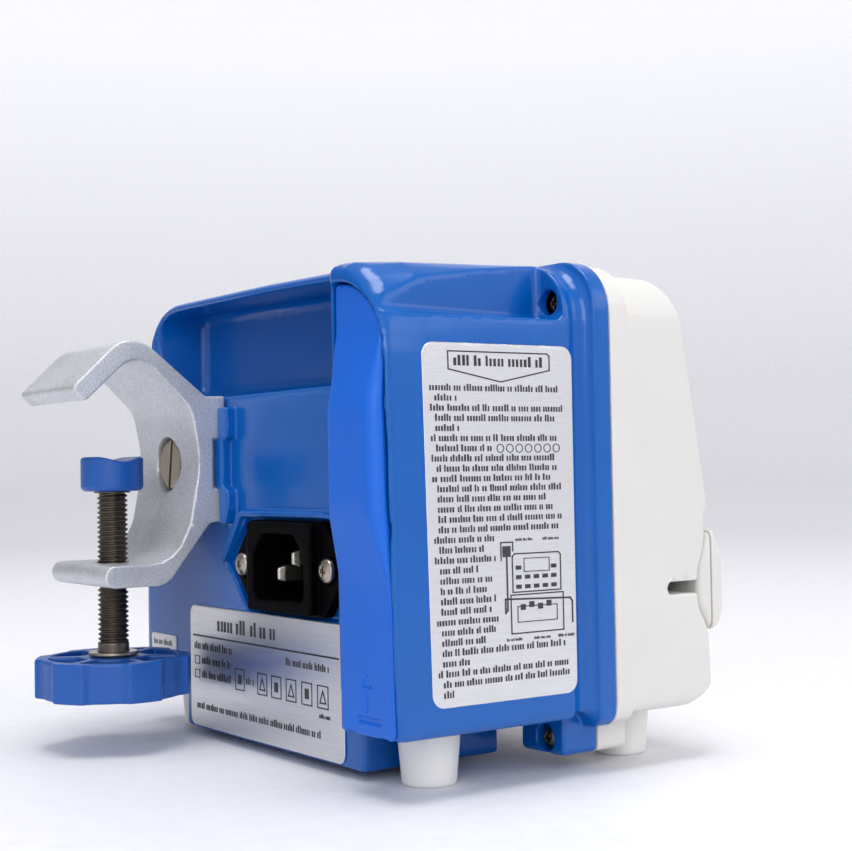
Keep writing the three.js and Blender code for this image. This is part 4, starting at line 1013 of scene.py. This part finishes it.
def rear_label():
    """Brushed rating plate: a title bar, rows of marks and a line of plain pictograms."""
    corner = plate("rear_label", SILVER_ACROSS, 2.5)
    marks = Print(corner, (-1, 0, 0), (0, 0, 1), 11)
    for u, width in ((15.5, 15.5), (33, 12.5)):
        marks.words(u, -6.2, width, 2.7)
    marks.bar(1.6, -8.3, 73, 0.45)
    marks.words(2.4, -11.7, 21, 1.5)
    marks.words(50.5, -11.7, 20, 1.3)
    for row in (-15.4, -19.1):
        marks.frame(2.6, row - 0.2, 2.6, 2, 0.22)
        marks.words(6.6, row, 16, 1.5)
    for index, u in enumerate((25, 36.5, 43.4, 50.5, 57.8, 65)):
        marks.frame(u, -20.2, 4.6, 5.2, 0.3)
        if index % 2:
            marks.line([(u + 1, -19), (u + 2.3, -16.2), (u + 3.6, -19)], 0.35, closed=True)
        else:
            marks.bar(u + 1.4, -18.8, 1.8, 2.4)
    marks.words(30.6, -18.4, 4.6, 1.4)
    marks.words(3.6, -27.4, 63, 1.35)
    marks.words(65.6, -22.6, 5, 0.8)
    marks.done("rear_marks", INK, "label_silver")
    corner = plate("serial_label", PAPER, 0.8)
    marks = Print(corner, (-1, 0, 0), (0, 0, 1), 3)
    for row in (-3, -5.6, -8.2):
        marks.words(1.6, row, 11.5, 1.2)
    marks.done("serial_marks", DIM_INK, "label_white")


# ---- Printed panel marks ----


def on_panel(x, behind, z, seed):
    """Print on the leaning display face, its origin at (x, z) on the face and so far behind it."""
    up = PANEL_FRAME.to_3x3() @ Vector((0, 0, 1))
    return Print(PANEL_FRAME @ Vector((x, behind, z)), (1, 0, 0), up, seed)


def panel_marks():
    """A frame round the display, plain bars above and below it, and a bar of blocks under each key."""
    marks = on_panel(0, 0, 0, 5)
    for x, z in KEY_PLACES.values():
        marks.words(x - 5, z - 5.3, 10, 0.7)
    marks.frame(-34.5, -15.5, 69, 32, 0.3)
    marks.bar(-30, 17.6, 60, 0.5)
    marks.words(-16, 18.6, 32, 1.2)
    marks.bar(-30, -18.6, 60, 0.4)
    marks.done("panel_marks", INK, "overlay")


KEY_SIGNS = {
    "power": lambda m: (m.ring(0, 0, 1.3, 0.35), m.bar(-0.18, 0.4, 0.36, 1.7)),
    "start": lambda m: m.shape([(-1, -1.3), (1.4, 0), (-1, 1.3)]),
    "stop": lambda m: m.bar(-1.2, -1.2, 2.4, 2.4),
    "mute": lambda m: m.line([(-1.2, -1.2), (1.2, 1.2)], 0.4),
    "enter": lambda m: m.line([(1.3, 1), (1.3, -0.5), (-1.3, -0.5)], 0.4),
    "purge": lambda m: [m.shape([(u, -1.2), (u + 1.4, 0), (u, 1.2)]) for u in (-1.4, 0.2)],
    "rate": lambda m: (m.bar(-1.6, -0.2, 3.2, 0.4), m.bar(-0.2, -1.6, 0.4, 3.2)),
    "volume": lambda m: m.bar(-1.6, -0.2, 3.2, 0.4),
}


def key_marks():
    """A raised pictogram on each key, riding with it."""
    for key, (x, z) in KEY_PLACES.items():
        marks = on_panel(x, -1.2, z, 1)
        KEY_SIGNS[key](marks)
        marks.done(f"key_{key}_sign", INK, "silicone", "key_" + key)


def screen_marks():
    """Bars and blocks on the display's own face, dim behind the window."""
    marks = on_panel(0, 1.7, 0, 9)
    marks.frame(-30, -11.5, 60, 24, 0.35)
    marks.bar(-30, 7.4, 60, 0.35)
    marks.words(-28, 9, 24, 1.8)
    marks.frame(20, 8.9, 6, 2.4, 0.3)
    marks.bar(26.2, 9.6, 0.5, 1)
    for row, length in ((3.6, 18), (-2.2, 22), (-8, 15)):
        marks.words(-28, row, length, 2.2)
    for left in (0, 7, 14, 22):
        marks.frame(left, -5.4, 5.2, 9.4, 0.9)
    marks.bar(19.9, -5.4, 1, 1)
    marks.bar(0, -9.6, 27, 1.6)
    marks.done("screen_marks", SCREEN_INK, "display_body")


# ---- CAD nodes that stay ----

KEPT = {
    "battery_pack": WRAP, "housing_seal": SEAL, "door_hinge_pin": STEEL, "platen": ACETAL, "motor": MOTOR,
    "pump_chassis": ANODISED, "camshaft": STEEL, "motor_pinion": BRASS, "air_detector": BLACK,
    "pressure_sensor": STEEL, "free_flow_clamp": BLUE_MATT, "display_module": DISPLAY, "main_board": BOARD,
    "power_board": BOARD, **{f"finger_{i}": ACETAL for i in range(1, 7)},
}


def kept_nodes():
    """Internal pieces keep their CAD shape and take a finish; their edges catch light on a fine bevel."""
    for node, finish in KEPT.items():
        piece = frame["nodes"][node]
        piece.data.materials.clear()
        piece.data.materials.append(finish)
        bevel = piece.modifiers.new("soft_edges", "BEVEL")
        bevel.width, bevel.segments, bevel.limit_method = 0.25 * MM, 2, "ANGLE"
        bevel.angle_limit = math.radians(40)


# ---- Stage ----


def studio():
    """A pale floor that curves up into a round wall, which glows faintly as a soft light growing up the wall,
    and has one dark part in front: a patch of painted shade that darkens the hand recess and the rear faces.
    """
    path = [(1.2, 0.0), (1.7, 0.04), (2.1, 0.2), (2.35, 0.5), (2.45, 0.9), (2.45, 2.4)]
    around = 96
    turns = [2 * math.pi * i / around for i in range(around)]
    mesh = bmesh.new()
    rings = [[mesh.verts.new((r * math.cos(a), r * math.sin(a), h)) for a in turns] for r, h in path]
    mesh.faces.new(rings[0])
    for lower, upper in zip(rings, rings[1:]):
        for i in range(around):
            j = (i + 1) % around
            mesh.faces.new((lower[j], lower[i], upper[i], upper[j]))
    data = bpy.data.meshes.new("backdrop")
    mesh.to_mesh(data)
    mesh.free()
    data.shade_smooth()
    g = Graph("backdrop_paper_with_painted_shade")
    height = g.add("ShaderNodeSeparateXYZ", Vector=g.place).outputs["Z"]
    towards = g.maths("ShaderNodeVectorMath", "DOT_PRODUCT", g.place, (0.32, 0.26, 0)).outputs["Value"]
    paper = g.blend(g.spread(g.noise(6, detail=4), 0, 1), (0.80, 0.80, 0.83, 1), (0.84, 0.84, 0.87, 1))
    # The glow stands in for light from the room and grows up the wall. Over the painted-shade patch the glow
    # fades and the paper blends to near black.
    rise, glow_outside_painted_shade = g.ramp(height, 0, 0.9, 0, 0.37), g.ramp(towards, 0.65, 0.95, 1, 0.15)
    data.materials.append(g.finish(
        Base_Color=g.blend(g.ramp(towards, 0.65, 0.95, 0, 0.8), paper, (0.02, 0.02, 0.025, 1)),
        Roughness=0.55,
        Emission_Color=(0.96, 0.96, 1, 1),
        Emission_Strength=g.maths("ShaderNodeMath", "MULTIPLY", rise, glow_outside_painted_shade).outputs[0],
    ))
    in_scene("backdrop", data)


def lamp(name, at, size, power):
    """A round white lamp pointed at the middle of the pump."""
    light = bpy.data.lights.new(name, "AREA")
    light.shape, light.size, light.energy = "DISK", size, power
    holder = in_scene(name, light)
    holder.location = at
    holder.rotation_euler = (Vector((0, 0, 0.06)) - Vector(at)).to_track_quat("-Z", "Y").to_euler()


def lighting():
    world = bpy.data.worlds.new("studio")
    bpy.context.scene.world = world
    world.use_nodes = True
    sky = world.node_tree.nodes["Background"].inputs
    sky["Color"].default_value = (1.0, 1.0, 1.0, 1)
    sky["Strength"].default_value = 0.5
    lamp("top_softbox", (-0.1, 0.1, 1.3), 0.8, 10.5)
    lamp("camera_softbox", (-1.3, 0.9, 0.7), 0.9, 6.5)
    lamp("side_softbox", (-1.2, -0.9, 0.8), 0.9, 2.2)


def photo_camera():
    """The viewpoint: low, from behind the pump and to its left."""
    lens = bpy.data.cameras.new("camera")
    lens.lens, lens.sensor_width, lens.clip_start, lens.clip_end = 63.04, 36, 0.01, 20
    camera = in_scene("camera", lens)
    forward = Vector((0.8101, -0.5853, 0.0311)).normalized()
    right = forward.cross(Vector((-0.0345, 0.0053, 0.9994))).normalized()
    turn = Matrix((right, right.cross(forward), -forward)).transposed()
    camera.matrix_world = Matrix.Translation((-0.3255, 0.22525 + PUMP_Y * MM, 0.0695)) @ turn.to_4x4()
    bpy.context.scene.camera = camera


for build in (
    rear_shell, battery_cover, front_housing, door, door_latch, front_panel, keys, indicator_lens, feet,
    cross_screws, inlet, clamp_bracket, mount_screw, spindle, clamp_knob, clamp_washers, clamp_pad,
    side_label, rear_label, panel_marks, key_marks, screen_marks, kept_nodes, studio, lighting, photo_camera,
):
    build()
bpy.context.scene.view_settings.view_transform = "Standard"
